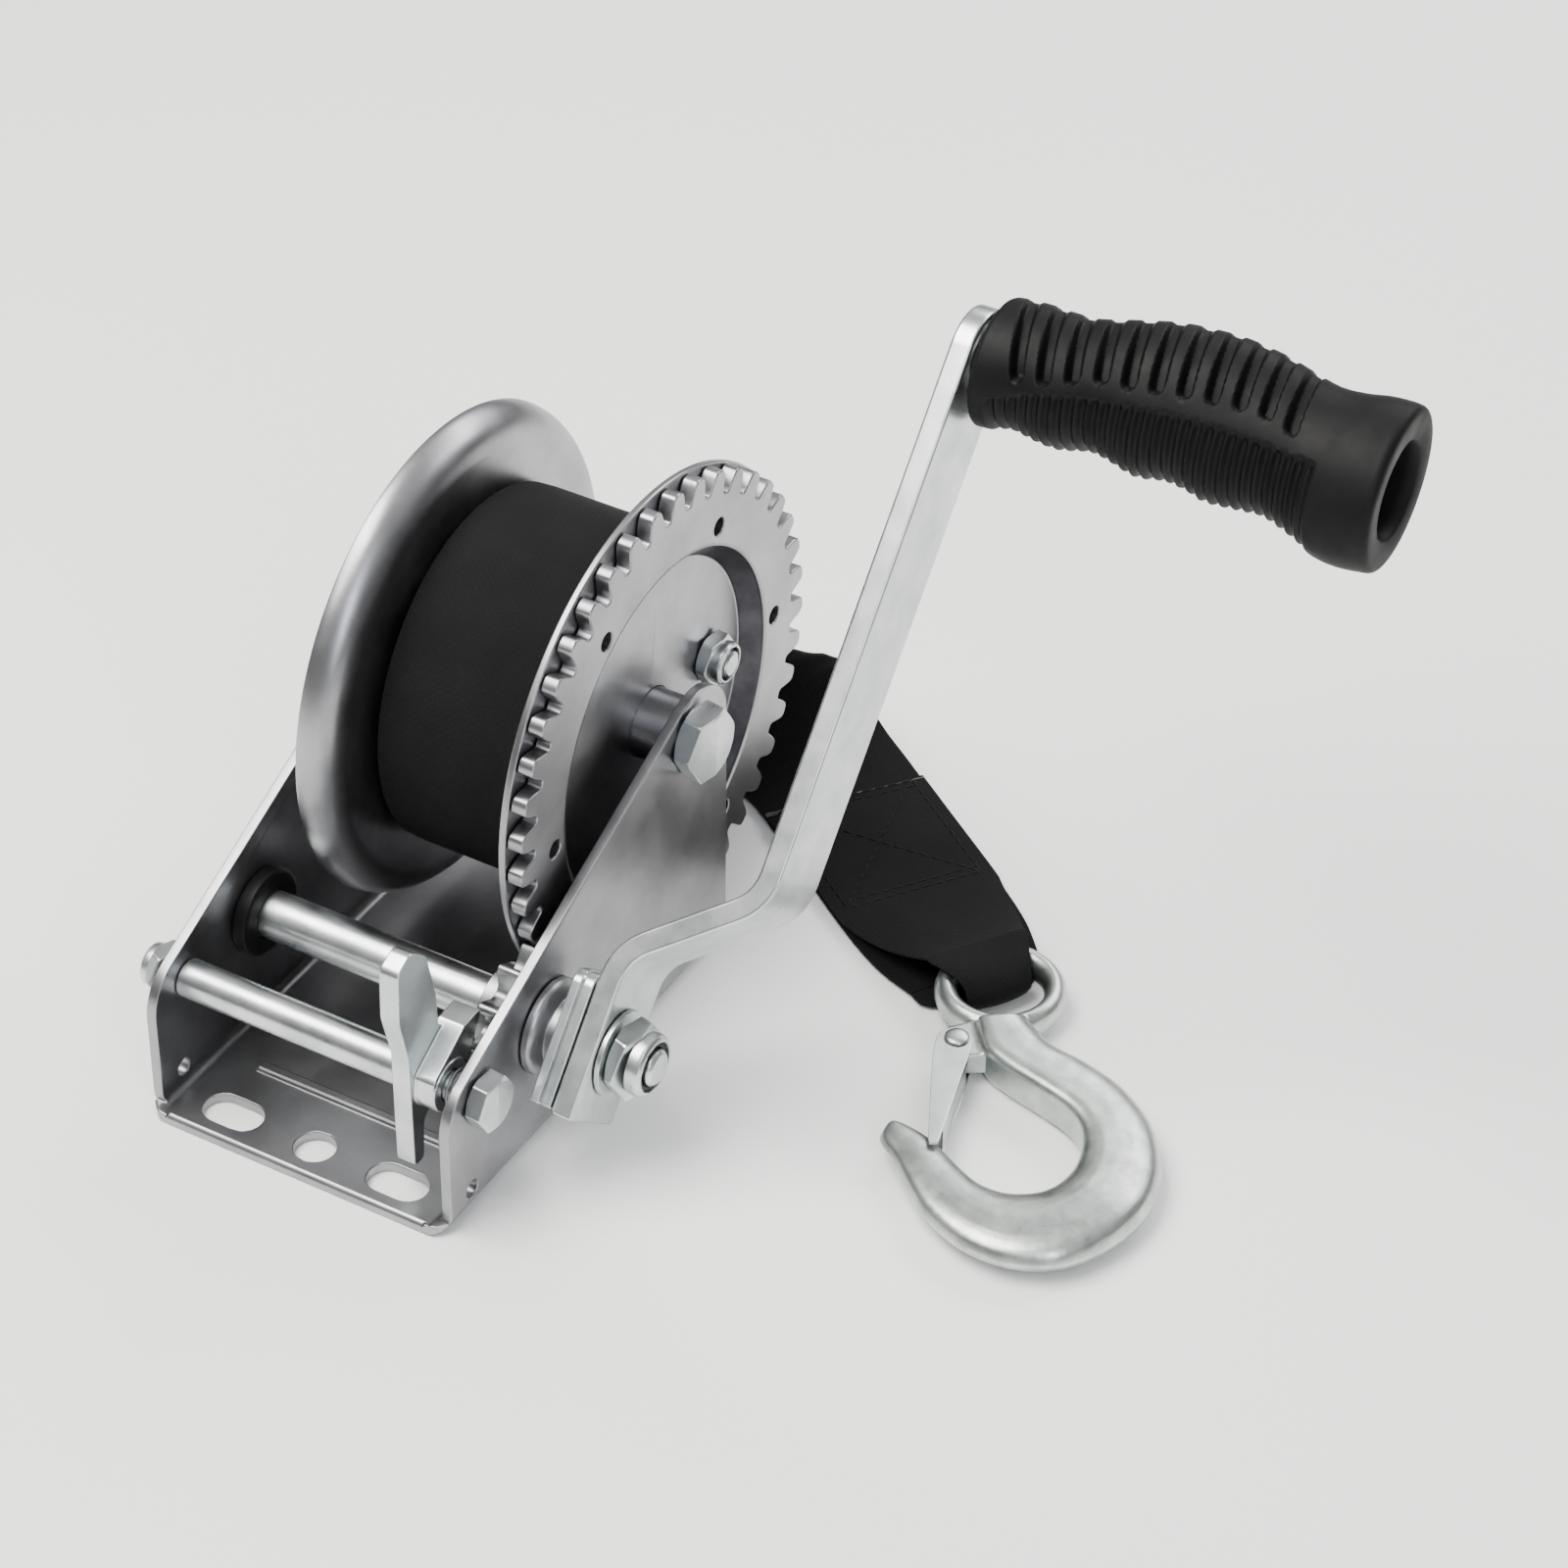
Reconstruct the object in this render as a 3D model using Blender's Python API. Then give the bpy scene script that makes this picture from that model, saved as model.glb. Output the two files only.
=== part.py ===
"""Hand winch for a boat trailer, with its webbing strap and hook.

Metres, +Z up.  The winch stands on its base: the origin is the middle of the base's
underside, X runs along the drum from the plain side to the crank side, and the open
front with its three mounting holes faces -Y.
"""
import math

import bmesh
import bpy
from mathutils import Matrix, Vector

# ---- driving sizes -----------------------------------------------------------------
GAP = 0.0003                    # clearance between pieces that touch

SHEET = 0.003                   # steel of the frame
FRAME_WIDTH = 0.091
FRAME_LENGTH = 0.137
FRAME_BEND = 0.0055             # outer radius of the two folds
FRONT_STRIP = 0.0035            # base that stands ahead of the side plates
SIDE_FRONT_HEIGHT = 0.0395      # where the front edge meets the slant
SIDE_SLOPE = 0.45
SIDE_TIP_RADIUS = 0.015

MOUNT_ROW = 0.0588              # mounting holes, from the middle of the base
MOUNT_PITCH = 0.02515
MOUNT_SLOT = (0.017, 0.0105)
MOUNT_HOLE = 0.011
LANYARD_HOLE = (-0.0555, 0.0079, 0.005)

DRUM_AXIS = (0.0501, 0.0797)    # y, z
PAWL_AXIS = (-0.051, 0.0351)
MODULE = 0.00325
GEAR_TEETH = 41
PINION_TEETH = 10
GEAR_LINE = math.radians(212.3)  # direction from the drum to the pinion
PRESSURE_ANGLE = math.radians(25)

AXLE_RADIUS = 0.006
AXLE_FLATS = 3 * AXLE_RADIUS    # across the flats of its head and nut
HUB_RADIUS = 0.012
HUB_WALL = 0.0022
STRAP_WIDTH = 0.048
STRAP_THICKNESS = 0.0012
ROLL_RADIUS = 0.049
FLANGE_SHEET = 0.002
FLANGE_RADIUS = 0.0675
FLANGE_LIP = 0.009
STRAP_LEFT = -0.0178            # left edge of the wound webbing
GROOVE = (-0.0203, 0.0306)      # inner faces of the plain flange and of the gear's dish
GEAR_SHEET = 0.0025
GEAR_FACE = 0.0388
GEAR_BACK = 0.0345
DISH_RADIUS = 0.048
ANCHOR_RADIUS = 0.029           # strap bolt, from the drum's axis
ANCHOR_ANGLE = math.radians(5)
ANCHOR_BOLT = 0.004

SHAFT_RADIUS = 0.0065
SHAFT_FLATS = 0.0104            # double-D end that drives the crank
PINION_LEFT = 0.0348
PINION_RIGHT = 0.041
PINION_BOSS = (0.031, 0.0115)   # left end and radius of the plain boss beside the teeth

CRANK_LEAN = math.radians(41)
BAR = (0.006, 0.025)            # flat bar of the crank
CRANK_INNER = 0.060             # inner face of the bar at the shaft
CRANK_OFFSET = 0.031
CRANK_LENGTH = 0.192
GRIP_LENGTH = 0.108
GRIP_BOLT = 0.005

PAWL_SHEET = 0.0055
PAWL_LEFT = 0.0255
PAWL_BOLT = 0.004
PAWL_LIFT = math.radians(11)    # how far the nose is held off the pinion

HOOK_EYE = (0.123, 0.079)       # x, y of the eye's middle
HOOK_HEADING = math.atan2(-0.8, 0.6)
HOOK_THICKNESS = 0.013
EYE_RADIUS = 0.01445            # to the middle of the ring's wire
EYE_WIRE = 0.00305
EYE_HEIGHT = 0.0084
LUG_HEIGHT = 0.0064
LATCH_OUTSIDE = 0.0102          # over the latch's two sheets
LATCH_SHEET = 0.0008
RIVET_PLACE = (0.0222, -0.0151)

LEFT_FACE = -FRAME_WIDTH / 2
RIGHT_FACE = FRAME_WIDTH / 2
INNER_LEFT = LEFT_FACE + SHEET
INNER_RIGHT = RIGHT_FACE - SHEET
CENTRE_DISTANCE = MODULE * (GEAR_TEETH + PINION_TEETH) / 2
CRANK_AXIS = (DRUM_AXIS[0] + CENTRE_DISTANCE * math.cos(GEAR_LINE),
              DRUM_AXIS[1] + CENTRE_DISTANCE * math.sin(GEAR_LINE))

ROUND = 40                      # sides of a large round
SMALL_ROUND = 24

COLOURS = {
    "zinc_steel": ((0.62, 0.63, 0.64), 0.34, 1.0),
    "bright_zinc": ((0.74, 0.75, 0.76), 0.26, 1.0),
    "plain_steel": ((0.55, 0.55, 0.56), 0.30, 1.0),
    "black_nylon": ((0.02, 0.02, 0.02), 0.55, 0.0),
    "black_rubber": ((0.018, 0.018, 0.02), 0.62, 0.0),
    "black_webbing": ((0.02, 0.02, 0.022), 0.85, 0.0),
}


# ---- helpers -----------------------------------------------------------------------
def clear_scene():
    for thing in list(bpy.data.objects):
        bpy.data.objects.remove(thing)


def material(name):
    found = bpy.data.materials.get(name)
    if found:
        return found
    colour, roughness, metallic = COLOURS[name]
    made = bpy.data.materials.new(name)
    made.use_nodes = True
    shader = made.node_tree.nodes["Principled BSDF"]
    shader.inputs["Base Color"].default_value = (*colour, 1.0)
    shader.inputs["Roughness"].default_value = roughness
    shader.inputs["Metallic"].default_value = metallic
    return made


def axis_empty(name, place, parent=None, turn=(0.0, 0.0, 0.0)):
    empty = bpy.data.objects.new(name, None)
    empty.location = place
    empty.rotation_euler = turn
    empty.parent = parent
    bpy.context.scene.collection.objects.link(empty)
    return empty


def add(name, bm, finish, parent=None, at=(0.0, 0.0, 0.0)):
    """Makes a finished object from a bmesh: faces out, rounds smooth, edges sharp."""
    bmesh.ops.remove_doubles(bm, verts=bm.verts, dist=1e-7)
    bmesh.ops.recalc_face_normals(bm, faces=bm.faces)
    mesh = bpy.data.meshes.new(name)
    bm.to_mesh(mesh)
    bm.free()
    mesh.shade_smooth()
    mesh.set_sharp_from_angle(angle=math.radians(35))
    if finish:
        mesh.materials.append(material(finish))
    made = bpy.data.objects.new(name, mesh)
    made.location = at
    made.parent = parent
    bpy.context.scene.collection.objects.link(made)
    return made


def guide(name, bm, parent=None, at=(0.0, 0.0, 0.0)):
    """A hidden solid that only cuts or joins another one."""
    made = add(name, bm, None, parent, at)
    made.hide_render = True
    made.display_type = "WIRE"
    return made


def boolean(target, other, operation):
    step = target.modifiers.new(operation.lower(), "BOOLEAN")
    step.operation = operation
    step.object = other
    step.solver = "EXACT"


def skin(rings, closed=False):
    """Joins rings of points, each with the same count, into one closed surface."""
    bm = bmesh.new()
    loops = [[bm.verts.new(point) for point in ring] for ring in rings]
    pairs = list(zip(loops, loops[1:]))
    if closed:
        pairs.append((loops[-1], loops[0]))
    else:
        bm.faces.new(loops[0])
        bm.faces.new(loops[-1])
    for first, second in pairs:
        for i in range(len(first)):
            j = (i + 1) % len(first)
            bm.faces.new((first[i], first[j], second[j], second[i]))
    return bm


def circle(x, radius, sides=SMALL_ROUND):
    turns = [2 * math.pi * i / sides for i in range(sides)]
    return [(x, radius * math.cos(a), radius * math.sin(a)) for a in turns]


def hexagon(x, flats, sides=SMALL_ROUND):
    """A hexagon with extra points on its sides, so that it can meet a circle."""
    ring = []
    for i in range(sides):
        a = 2 * math.pi * i / sides
        off = (a + math.pi / 6) % (math.pi / 3) - math.pi / 6
        radius = flats / 2 / math.cos(off)
        ring.append((x, radius * math.cos(a), radius * math.sin(a)))
    return ring


def double_d(x, radius, flats, sides=SMALL_ROUND):
    """A round with two flats, which face along Z."""
    return [(px, py, max(-flats / 2, min(flats / 2, pz)))
            for px, py, pz in circle(x, radius, sides)]


def turned(profile, sides=SMALL_ROUND, closed=True):
    """Turns (x, radius) points round the X axis; an open profile gets flat ends."""
    return skin([circle(x, radius, sides) for x, radius in profile], closed)


def prism(outline, start, end, axis="X"):
    """Extrudes an outline along an axis."""
    place = {
        "X": lambda u, v, t: (t, u, v),
        "Y": lambda u, v, t: (u, t, v),
        "Z": lambda u, v, t: (u, v, t),
    }[axis]
    bm = bmesh.new()
    face = bm.faces.new([bm.verts.new(place(u, v, start)) for u, v in outline])
    moved = bmesh.ops.extrude_face_region(bm, geom=[face])["geom"]
    shift = Vector(place(0.0, 0.0, end - start))
    points = [item for item in moved if isinstance(item, bmesh.types.BMVert)]
    bmesh.ops.translate(bm, verts=points, vec=shift)
    return bm


def rounded(corners, steps=5):
    """An outline whose corners, given as (u, v, radius), are arcs."""
    outline = []
    count = len(corners)
    for i, (u, v, radius) in enumerate(corners):
        here = Vector((u, v))
        if not radius:
            outline.append((u, v))
            continue
        before = (Vector(corners[i - 1][:2]) - here).normalized()
        after = (Vector(corners[(i + 1) % count][:2]) - here).normalized()
        half = before.angle(after) / 2
        middle = here + (before + after).normalized() * radius / math.sin(half)
        start = here + before * radius / math.tan(half) - middle
        end = here + after * radius / math.tan(half) - middle
        swing = start.angle_signed(end)
        for k in range(steps + 1):
            point = start.copy()
            point.rotate(Matrix.Rotation(-swing * k / steps, 2))
            outline.append(tuple(middle + point))
    return outline


def merged(pieces):
    """Puts several bmeshes into one, for a cutter that makes several holes."""
    whole = bmesh.new()
    for bm in pieces:
        mesh = bpy.data.meshes.new("scrap")
        bm.to_mesh(mesh)
        bm.free()
        whole.from_mesh(mesh)
        bpy.data.meshes.remove(mesh)
    return whole


def rod(start, end, radius, centre=(0.0, 0.0), sides=SMALL_ROUND):
    """A plain cylinder along X."""
    return skin([[(x, y + centre[0], z + centre[1]) for x, y, z in circle(end_x, radius, sides)]
                 for end_x in (start, end)])


def bolt_rings(head, under, end, flats, radius):
    """A hexagon bolt along X: head from head to under, thread to end."""
    way = 1 if end > under else -1
    chamfer = 0.001 * way
    return [circle(head, flats * 0.46), hexagon(head + chamfer, flats),
            hexagon(under, flats), circle(under, radius),
            circle(end - chamfer, radius), circle(end, radius - 0.001)]


def nut_rings(start, end, flats, bore, collar=0.35):
    """A lock nut along X: hexagon, then the round collar that holds its nylon ring."""
    shoulder = end - (end - start) * collar
    slope = (end - start) * 0.08
    return [circle(start, bore), circle(start, flats * 0.49), hexagon(start + slope, flats),
            hexagon(shoulder - slope, flats), circle(shoulder, flats * 0.46),
            circle(end - slope, flats * 0.45), circle(end, flats * 0.40), circle(end, bore)]


# ---- frame -------------------------------------------------------------------------
def slant_height(y):
    """Height of the side plates' slanted top edge."""
    front = -FRAME_LENGTH / 2 + FRONT_STRIP
    return SIDE_FRONT_HEIGHT + SIDE_SLOPE * (y - front)


def make_frame():
    """One folded sheet: base, two side plates, their holes and a stiffening bead."""
    front = -FRAME_LENGTH / 2
    back = FRAME_LENGTH / 2
    top = slant_height(back)
    inner_bend = FRAME_BEND - SHEET
    fold = rounded([
        (LEFT_FACE, top, 0), (LEFT_FACE, 0, FRAME_BEND), (RIGHT_FACE, 0, FRAME_BEND),
        (RIGHT_FACE, top, 0), (INNER_RIGHT, top, 0), (INNER_RIGHT, SHEET, inner_bend),
        (INNER_LEFT, SHEET, inner_bend), (INNER_LEFT, top, 0)])
    frame = add("frame", prism(fold, front, back, "Y"), "zinc_steel")

    below = -SHEET
    strip = SHEET + GAP
    side = rounded([
        (front - SHEET, below, 0), (front - SHEET, strip, 0), (front + FRONT_STRIP, strip, 0),
        (front + FRONT_STRIP, SIDE_FRONT_HEIGHT, 0.014), (back, top, SIDE_TIP_RADIUS),
        (back, below, 0)], steps=8)
    boolean(frame, guide("side_outline", prism(side, -FRAME_WIDTH, FRAME_WIDTH)), "INTERSECT")

    wide = RIGHT_FACE + SHEET
    corner = FRONT_STRIP
    plan = rounded([
        (-wide, front + FRONT_STRIP, 0), (-RIGHT_FACE, front + FRONT_STRIP, 0),
        (-RIGHT_FACE + corner, front, corner), (RIGHT_FACE - corner, front, corner),
        (RIGHT_FACE, front + FRONT_STRIP, 0), (wide, front + FRONT_STRIP, 0),
        (wide, back + SHEET, 0), (-wide, back + SHEET, 0)])
    boolean(frame, guide("plan_outline", prism(plan, -SHEET, top + SHEET, "Z")), "INTERSECT")

    bead = rounded([(-0.0431, 0.0025, 0), (-0.0425, 0.0042, 0.0006),
                    (-0.0397, 0.0042, 0.0006), (-0.0391, 0.0025, 0)], steps=2)
    boolean(frame, guide("bead", prism(bead, -0.029, INNER_RIGHT - 0.004)), "UNION")

    length, width = MOUNT_SLOT
    holes = []
    for sign in (-1, 1):
        middle = sign * MOUNT_PITCH
        slot = rounded([
            (middle - length / 2, -MOUNT_ROW - width / 2, width * 0.499),
            (middle + length / 2, -MOUNT_ROW - width / 2, width * 0.499),
            (middle + length / 2, -MOUNT_ROW + width / 2, width * 0.499),
            (middle - length / 2, -MOUNT_ROW + width / 2, width * 0.499)])
        holes.append(prism(slot, -SHEET, 2 * SHEET, "Z"))
    for y in (-MOUNT_ROW, FRAME_LENGTH / 2 - 0.016):
        round_hole = [(MOUNT_HOLE / 2 * math.cos(a), y + MOUNT_HOLE / 2 * math.sin(a))
                      for a in (2 * math.pi * i / SMALL_ROUND for i in range(SMALL_ROUND))]
        holes.append(prism(round_hole, -SHEET, 2 * SHEET, "Z"))
    boolean(frame, guide("base_holes", merged(holes)), "DIFFERENCE")

    through = (LEFT_FACE - SHEET, RIGHT_FACE + SHEET)
    y, z, hole = LANYARD_HOLE
    drills = [
        rod(*through, AXLE_RADIUS + GAP, DRUM_AXIS),
        rod(*through, PAWL_BOLT + GAP, PAWL_AXIS),
        rod(*through, SHAFT_RADIUS + 0.0035 + GAP, CRANK_AXIS),
        rod(*through, hole / 2, (y, z), 12)]
    boolean(frame, guide("side_holes", merged(drills)), "DIFFERENCE")


# ---- drum, gear and strap roll -----------------------------------------------------
def gear_ring(x, teeth, addendum, dedendum, backlash, phase, flank_steps):
    """Outline of a spur gear with involute flanks."""
    pitch = MODULE * teeth / 2
    base = pitch * math.cos(PRESSURE_ANGLE)
    tip = pitch + addendum * MODULE
    root = pitch - dedendum * MODULE

    def roll(radius):
        if radius <= base:
            return 0.0
        return math.sqrt((radius / base) ** 2 - 1) - math.acos(base / radius)

    half = (math.pi / 2) / teeth - backlash / (2 * pitch)
    start = max(base, root)
    radii = [root] if root < base - 1e-6 else []
    radii += [start + (tip - start) * k / flank_steps for k in range(flank_steps + 1)]
    ring = []
    for i in range(teeth):
        middle = phase + 2 * math.pi * i / teeth
        half_angles = [half + roll(pitch) - roll(radius) for radius in radii]
        flank = [(radius, -spread) for radius, spread in zip(radii, half_angles)]
        flank += [(radius, spread) for radius, spread in zip(radii[::-1], half_angles[::-1])]
        ring += [(x, radius * math.cos(middle + a), radius * math.sin(middle + a))
                 for radius, a in flank]
    return ring


def bored(outer_rings, bore):
    """Closes outline rings onto a round bore with as many points, at the same angles."""
    def inner(ring):
        return [(x, bore * math.cos(math.atan2(z, y)), bore * math.sin(math.atan2(z, y)))
                for x, y, z in ring]
    return skin([inner(outer_rings[0]), *outer_rings, inner(outer_rings[-1])], closed=True)


def make_drum(axis):
    strap_right = STRAP_LEFT + STRAP_WIDTH
    floor = GROOVE[1]                        # inner face of the gear's dished floor
    flange_out = GROOVE[0] - FLANGE_SHEET
    bore = AXLE_RADIUS + GAP
    hub_out = HUB_RADIUS

    add("drum_hub_tube", turned([
        (flange_out, bore), (flange_out, hub_out), (floor - GAP, hub_out), (floor - GAP, bore)],
        ROUND), "zinc_steel", axis)

    lip = [(flange_out, hub_out + GAP), (flange_out + FLANGE_SHEET, hub_out + GAP)]
    arc_middle = (GROOVE[0] - FLANGE_LIP, FLANGE_RADIUS - FLANGE_LIP)
    for k in range(6):
        a = math.pi / 2 * k / 5
        lip.append((arc_middle[0] + FLANGE_LIP * math.cos(a),
                    arc_middle[1] + FLANGE_LIP * math.sin(a)))
    inside = FLANGE_LIP - FLANGE_SHEET
    for k in range(5, -1, -1):
        a = math.pi / 2 * k / 5
        lip.append((arc_middle[0] + inside * math.cos(a), arc_middle[1] + inside * math.sin(a)))
    flange = add("drum_left_flange", turned(lip, 56), "zinc_steel", axis)

    outer = DISH_RADIUS + 0.0025
    add("drum_right_flange", turned([
        (GEAR_BACK - GAP - FLANGE_SHEET, outer), (GEAR_BACK - GAP - FLANGE_SHEET, 0.070),
        (GEAR_BACK - GAP, 0.070), (GEAR_BACK - GAP, outer)], 56), "zinc_steel", axis)

    phase = GEAR_LINE + math.pi / GEAR_TEETH
    rings = [gear_ring(x, GEAR_TEETH, 0.85, 1.15, 0.0006, phase, 2)
             for x in (GEAR_BACK, GEAR_FACE)]
    gear = add("gear_wheel", bored(rings, DISH_RADIUS - 0.0008), "zinc_steel", axis)
    dish = turned([
        (floor, hub_out), (floor, DISH_RADIUS + 0.0018), (GEAR_FACE - 0.0006, DISH_RADIUS + 0.0018),
        (GEAR_FACE - 0.0006, DISH_RADIUS), (floor + GEAR_SHEET, DISH_RADIUS - 0.003),
        (floor + GEAR_SHEET, hub_out)], 56)
    boolean(gear, guide("dish", dish, axis), "UNION")
    hole_circle = [(0.054 * math.cos(a), 0.054 * math.sin(a))
                   for a in (math.radians(2 + 60 * i) for i in range(6))]
    weld_holes = [rod(GEAR_BACK - GAP, GEAR_FACE + GAP, 0.0025, place, 10)
                  for place in hole_circle]
    boolean(gear, guide("weld_holes", merged(weld_holes), axis), "DIFFERENCE")

    anchor = (ANCHOR_RADIUS * math.cos(ANCHOR_ANGLE), ANCHOR_RADIUS * math.sin(ANCHOR_ANGLE))
    clear = rod(flange_out - 0.01, GEAR_FACE + 0.01, ANCHOR_BOLT + GAP, anchor)
    drill = guide("anchor_hole", clear, axis)
    boolean(gear, drill, "DIFFERENCE")
    boolean(flange, drill, "DIFFERENCE")
    place = (0.0, *anchor)
    nut_start = floor + GEAR_SHEET + GAP
    nut_end = nut_start + 0.0068
    add("strap_anchor_bolt", skin(bolt_rings(
        flange_out - GAP - 0.0053, flange_out - GAP, nut_end + 0.0006, 0.013, ANCHOR_BOLT)),
        "bright_zinc", axis, place)
    add("strap_anchor_nut", skin(nut_rings(
        nut_start, nut_end, 0.013, ANCHOR_BOLT + GAP), closed=True), "bright_zinc", axis, place)

    roll_out = ROLL_RADIUS - STRAP_THICKNESS - GAP
    roll = add("strap_roll", turned([
        (STRAP_LEFT, hub_out + GAP), (STRAP_LEFT, roll_out), (strap_right, roll_out),
        (strap_right, hub_out + GAP)], 56), "black_webbing", axis)
    boolean(roll, drill, "DIFFERENCE")


def make_axle(axis):
    """The bolt that the drum turns on, its nut, and the loose spacers beside the drum."""
    flange_out = GROOVE[0] - FLANGE_SHEET
    floor_out = GROOVE[1] + GEAR_SHEET
    nut_end = LEFT_FACE - GAP - 0.0105
    add("drum_bolt", skin(bolt_rings(
        RIGHT_FACE + GAP + 0.0075, RIGHT_FACE + GAP, nut_end - 0.0015, AXLE_FLATS, AXLE_RADIUS)),
        "bright_zinc", axis)
    add("drum_bolt_nut", skin(nut_rings(
        LEFT_FACE - GAP, nut_end, AXLE_FLATS, AXLE_RADIUS + GAP), closed=True),
        "bright_zinc", axis)
    for name, start, end in (
            ("drum_spacer_left", INNER_LEFT + GAP, flange_out - GAP),
            ("drum_spacer_right", floor_out + GAP, INNER_RIGHT - GAP)):
        bore, outer = AXLE_RADIUS + GAP, AXLE_RADIUS + 0.003
        add(name, turned([(start, bore), (start, outer), (end, outer), (end, bore)]),
            "bright_zinc", axis)


# ---- pinion shaft and crank --------------------------------------------------------
def make_pinion(axis):
    """Shaft, pinion, bushings and the retaining clip, along X round the crank's axis."""
    bush = SHAFT_RADIUS + 0.0035
    clip = LEFT_FACE - 0.0022
    shaft_rings = [circle(clip - 0.0035, SHAFT_RADIUS - 0.001),
                   circle(clip - 0.0025, SHAFT_RADIUS), circle(clip - GAP, SHAFT_RADIUS),
                   circle(clip - GAP, SHAFT_RADIUS - 0.0012),
                   circle(clip + 0.0012 + GAP, SHAFT_RADIUS - 0.0012),
                   circle(clip + 0.0012 + GAP, SHAFT_RADIUS), circle(0.0535, SHAFT_RADIUS),
                   double_d(0.0535, SHAFT_RADIUS, SHAFT_FLATS),
                   double_d(CRANK_INNER + BAR[0] - 0.0006, SHAFT_RADIUS, SHAFT_FLATS),
                   circle(CRANK_INNER + BAR[0] - 0.0006, 0.0049), circle(0.0775, 0.0049),
                   circle(0.0785, 0.0040)]
    add("pinion_shaft", skin(shaft_rings), "bright_zinc", axis)
    bore = SHAFT_RADIUS + GAP
    phase = GEAR_LINE + math.pi + CRANK_LEAN    # the empty leans back with the crank
    rings = [gear_ring(x, PINION_TEETH, 0.85, 1.05, 0.0006, phase, 4)
             for x in (PINION_LEFT, PINION_RIGHT)]
    pinion = add("pinion_gear", skin(rings), "plain_steel", axis)
    left, boss = PINION_BOSS
    boolean(pinion, guide("pinion_boss", rod(left, PINION_LEFT + 0.001, boss), axis), "UNION")
    through = rod(left - 0.01, PINION_RIGHT + 0.01, bore)
    boolean(pinion, guide("pinion_bore", through, axis), "DIFFERENCE")
    add("shaft_clip", turned([
        (clip, SHAFT_RADIUS - 0.0009), (clip, SHAFT_RADIUS + 0.0025),
        (clip + 0.0012, SHAFT_RADIUS + 0.0025), (clip + 0.0012, SHAFT_RADIUS - 0.0009)]),
        "plain_steel", axis)
    add("shaft_collar", turned([
        (RIGHT_FACE + GAP, bore), (RIGHT_FACE + GAP, 0.013), (0.0475, 0.013), (0.0487, 0.0122),
        (0.0497, 0.0105), (0.0503, 0.0095), (0.0532, 0.0095), (0.0532, bore)], ROUND),
        "zinc_steel", axis)
    return bush, bore


def make_bushings(axis, bush, bore):
    """Nylon bushings that stay in the side plates."""
    flange = 0.012
    add("pinion_bushing_left", turned([
        (LEFT_FACE - 0.0006, bore), (LEFT_FACE - 0.0006, bush), (INNER_LEFT + GAP, bush),
        (INNER_LEFT + GAP, flange), (INNER_LEFT + 0.0038, flange), (INNER_LEFT + 0.0045, 0.0105),
        (INNER_LEFT + 0.0045, bore)], ROUND), "black_nylon", axis)
    add("pinion_bushing_right", turned([
        (RIGHT_FACE, bore), (RIGHT_FACE, bush), (INNER_RIGHT - GAP, bush),
        (INNER_RIGHT - GAP, flange), (PINION_RIGHT + GAP, flange), (PINION_RIGHT + GAP, bore)],
        ROUND), "black_nylon", axis)


def bar_rings(path, width):
    """Sections of a flat bar that runs up local Z; path holds (z, inner x, outer x)."""
    return [[(inner, -width / 2, z0), (outer, -width / 2, z1),
             (outer, width / 2, z1), (inner, width / 2, z0)]
            for z0, z1, inner, outer in path]


def bar_path(z_low, z_bend, z_high):
    """Centre line of the crank's bar in the XZ plane: straight, joggle, straight."""
    slope = math.radians(52)
    radius = 0.014
    centre = CRANK_INNER + BAR[0] / 2
    reach = CRANK_OFFSET - 2 * radius * (1 - math.cos(slope))
    points = [(centre, z_low, 0.0)]
    for k in range(6):
        a = slope * k / 5
        points.append((centre + radius * (1 - math.cos(a)), z_bend + radius * math.sin(a), a))
    x, z, _ = points[-1]
    x += reach
    z += reach / math.tan(slope)
    for k in range(5, -1, -1):
        a = slope * k / 5
        points.append((x + radius * (math.cos(a) - math.cos(slope)),
                       z + radius * (math.sin(slope) - math.sin(a)), a))
    points.append((centre + CRANK_OFFSET, z_high, 0.0))
    return points


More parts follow.
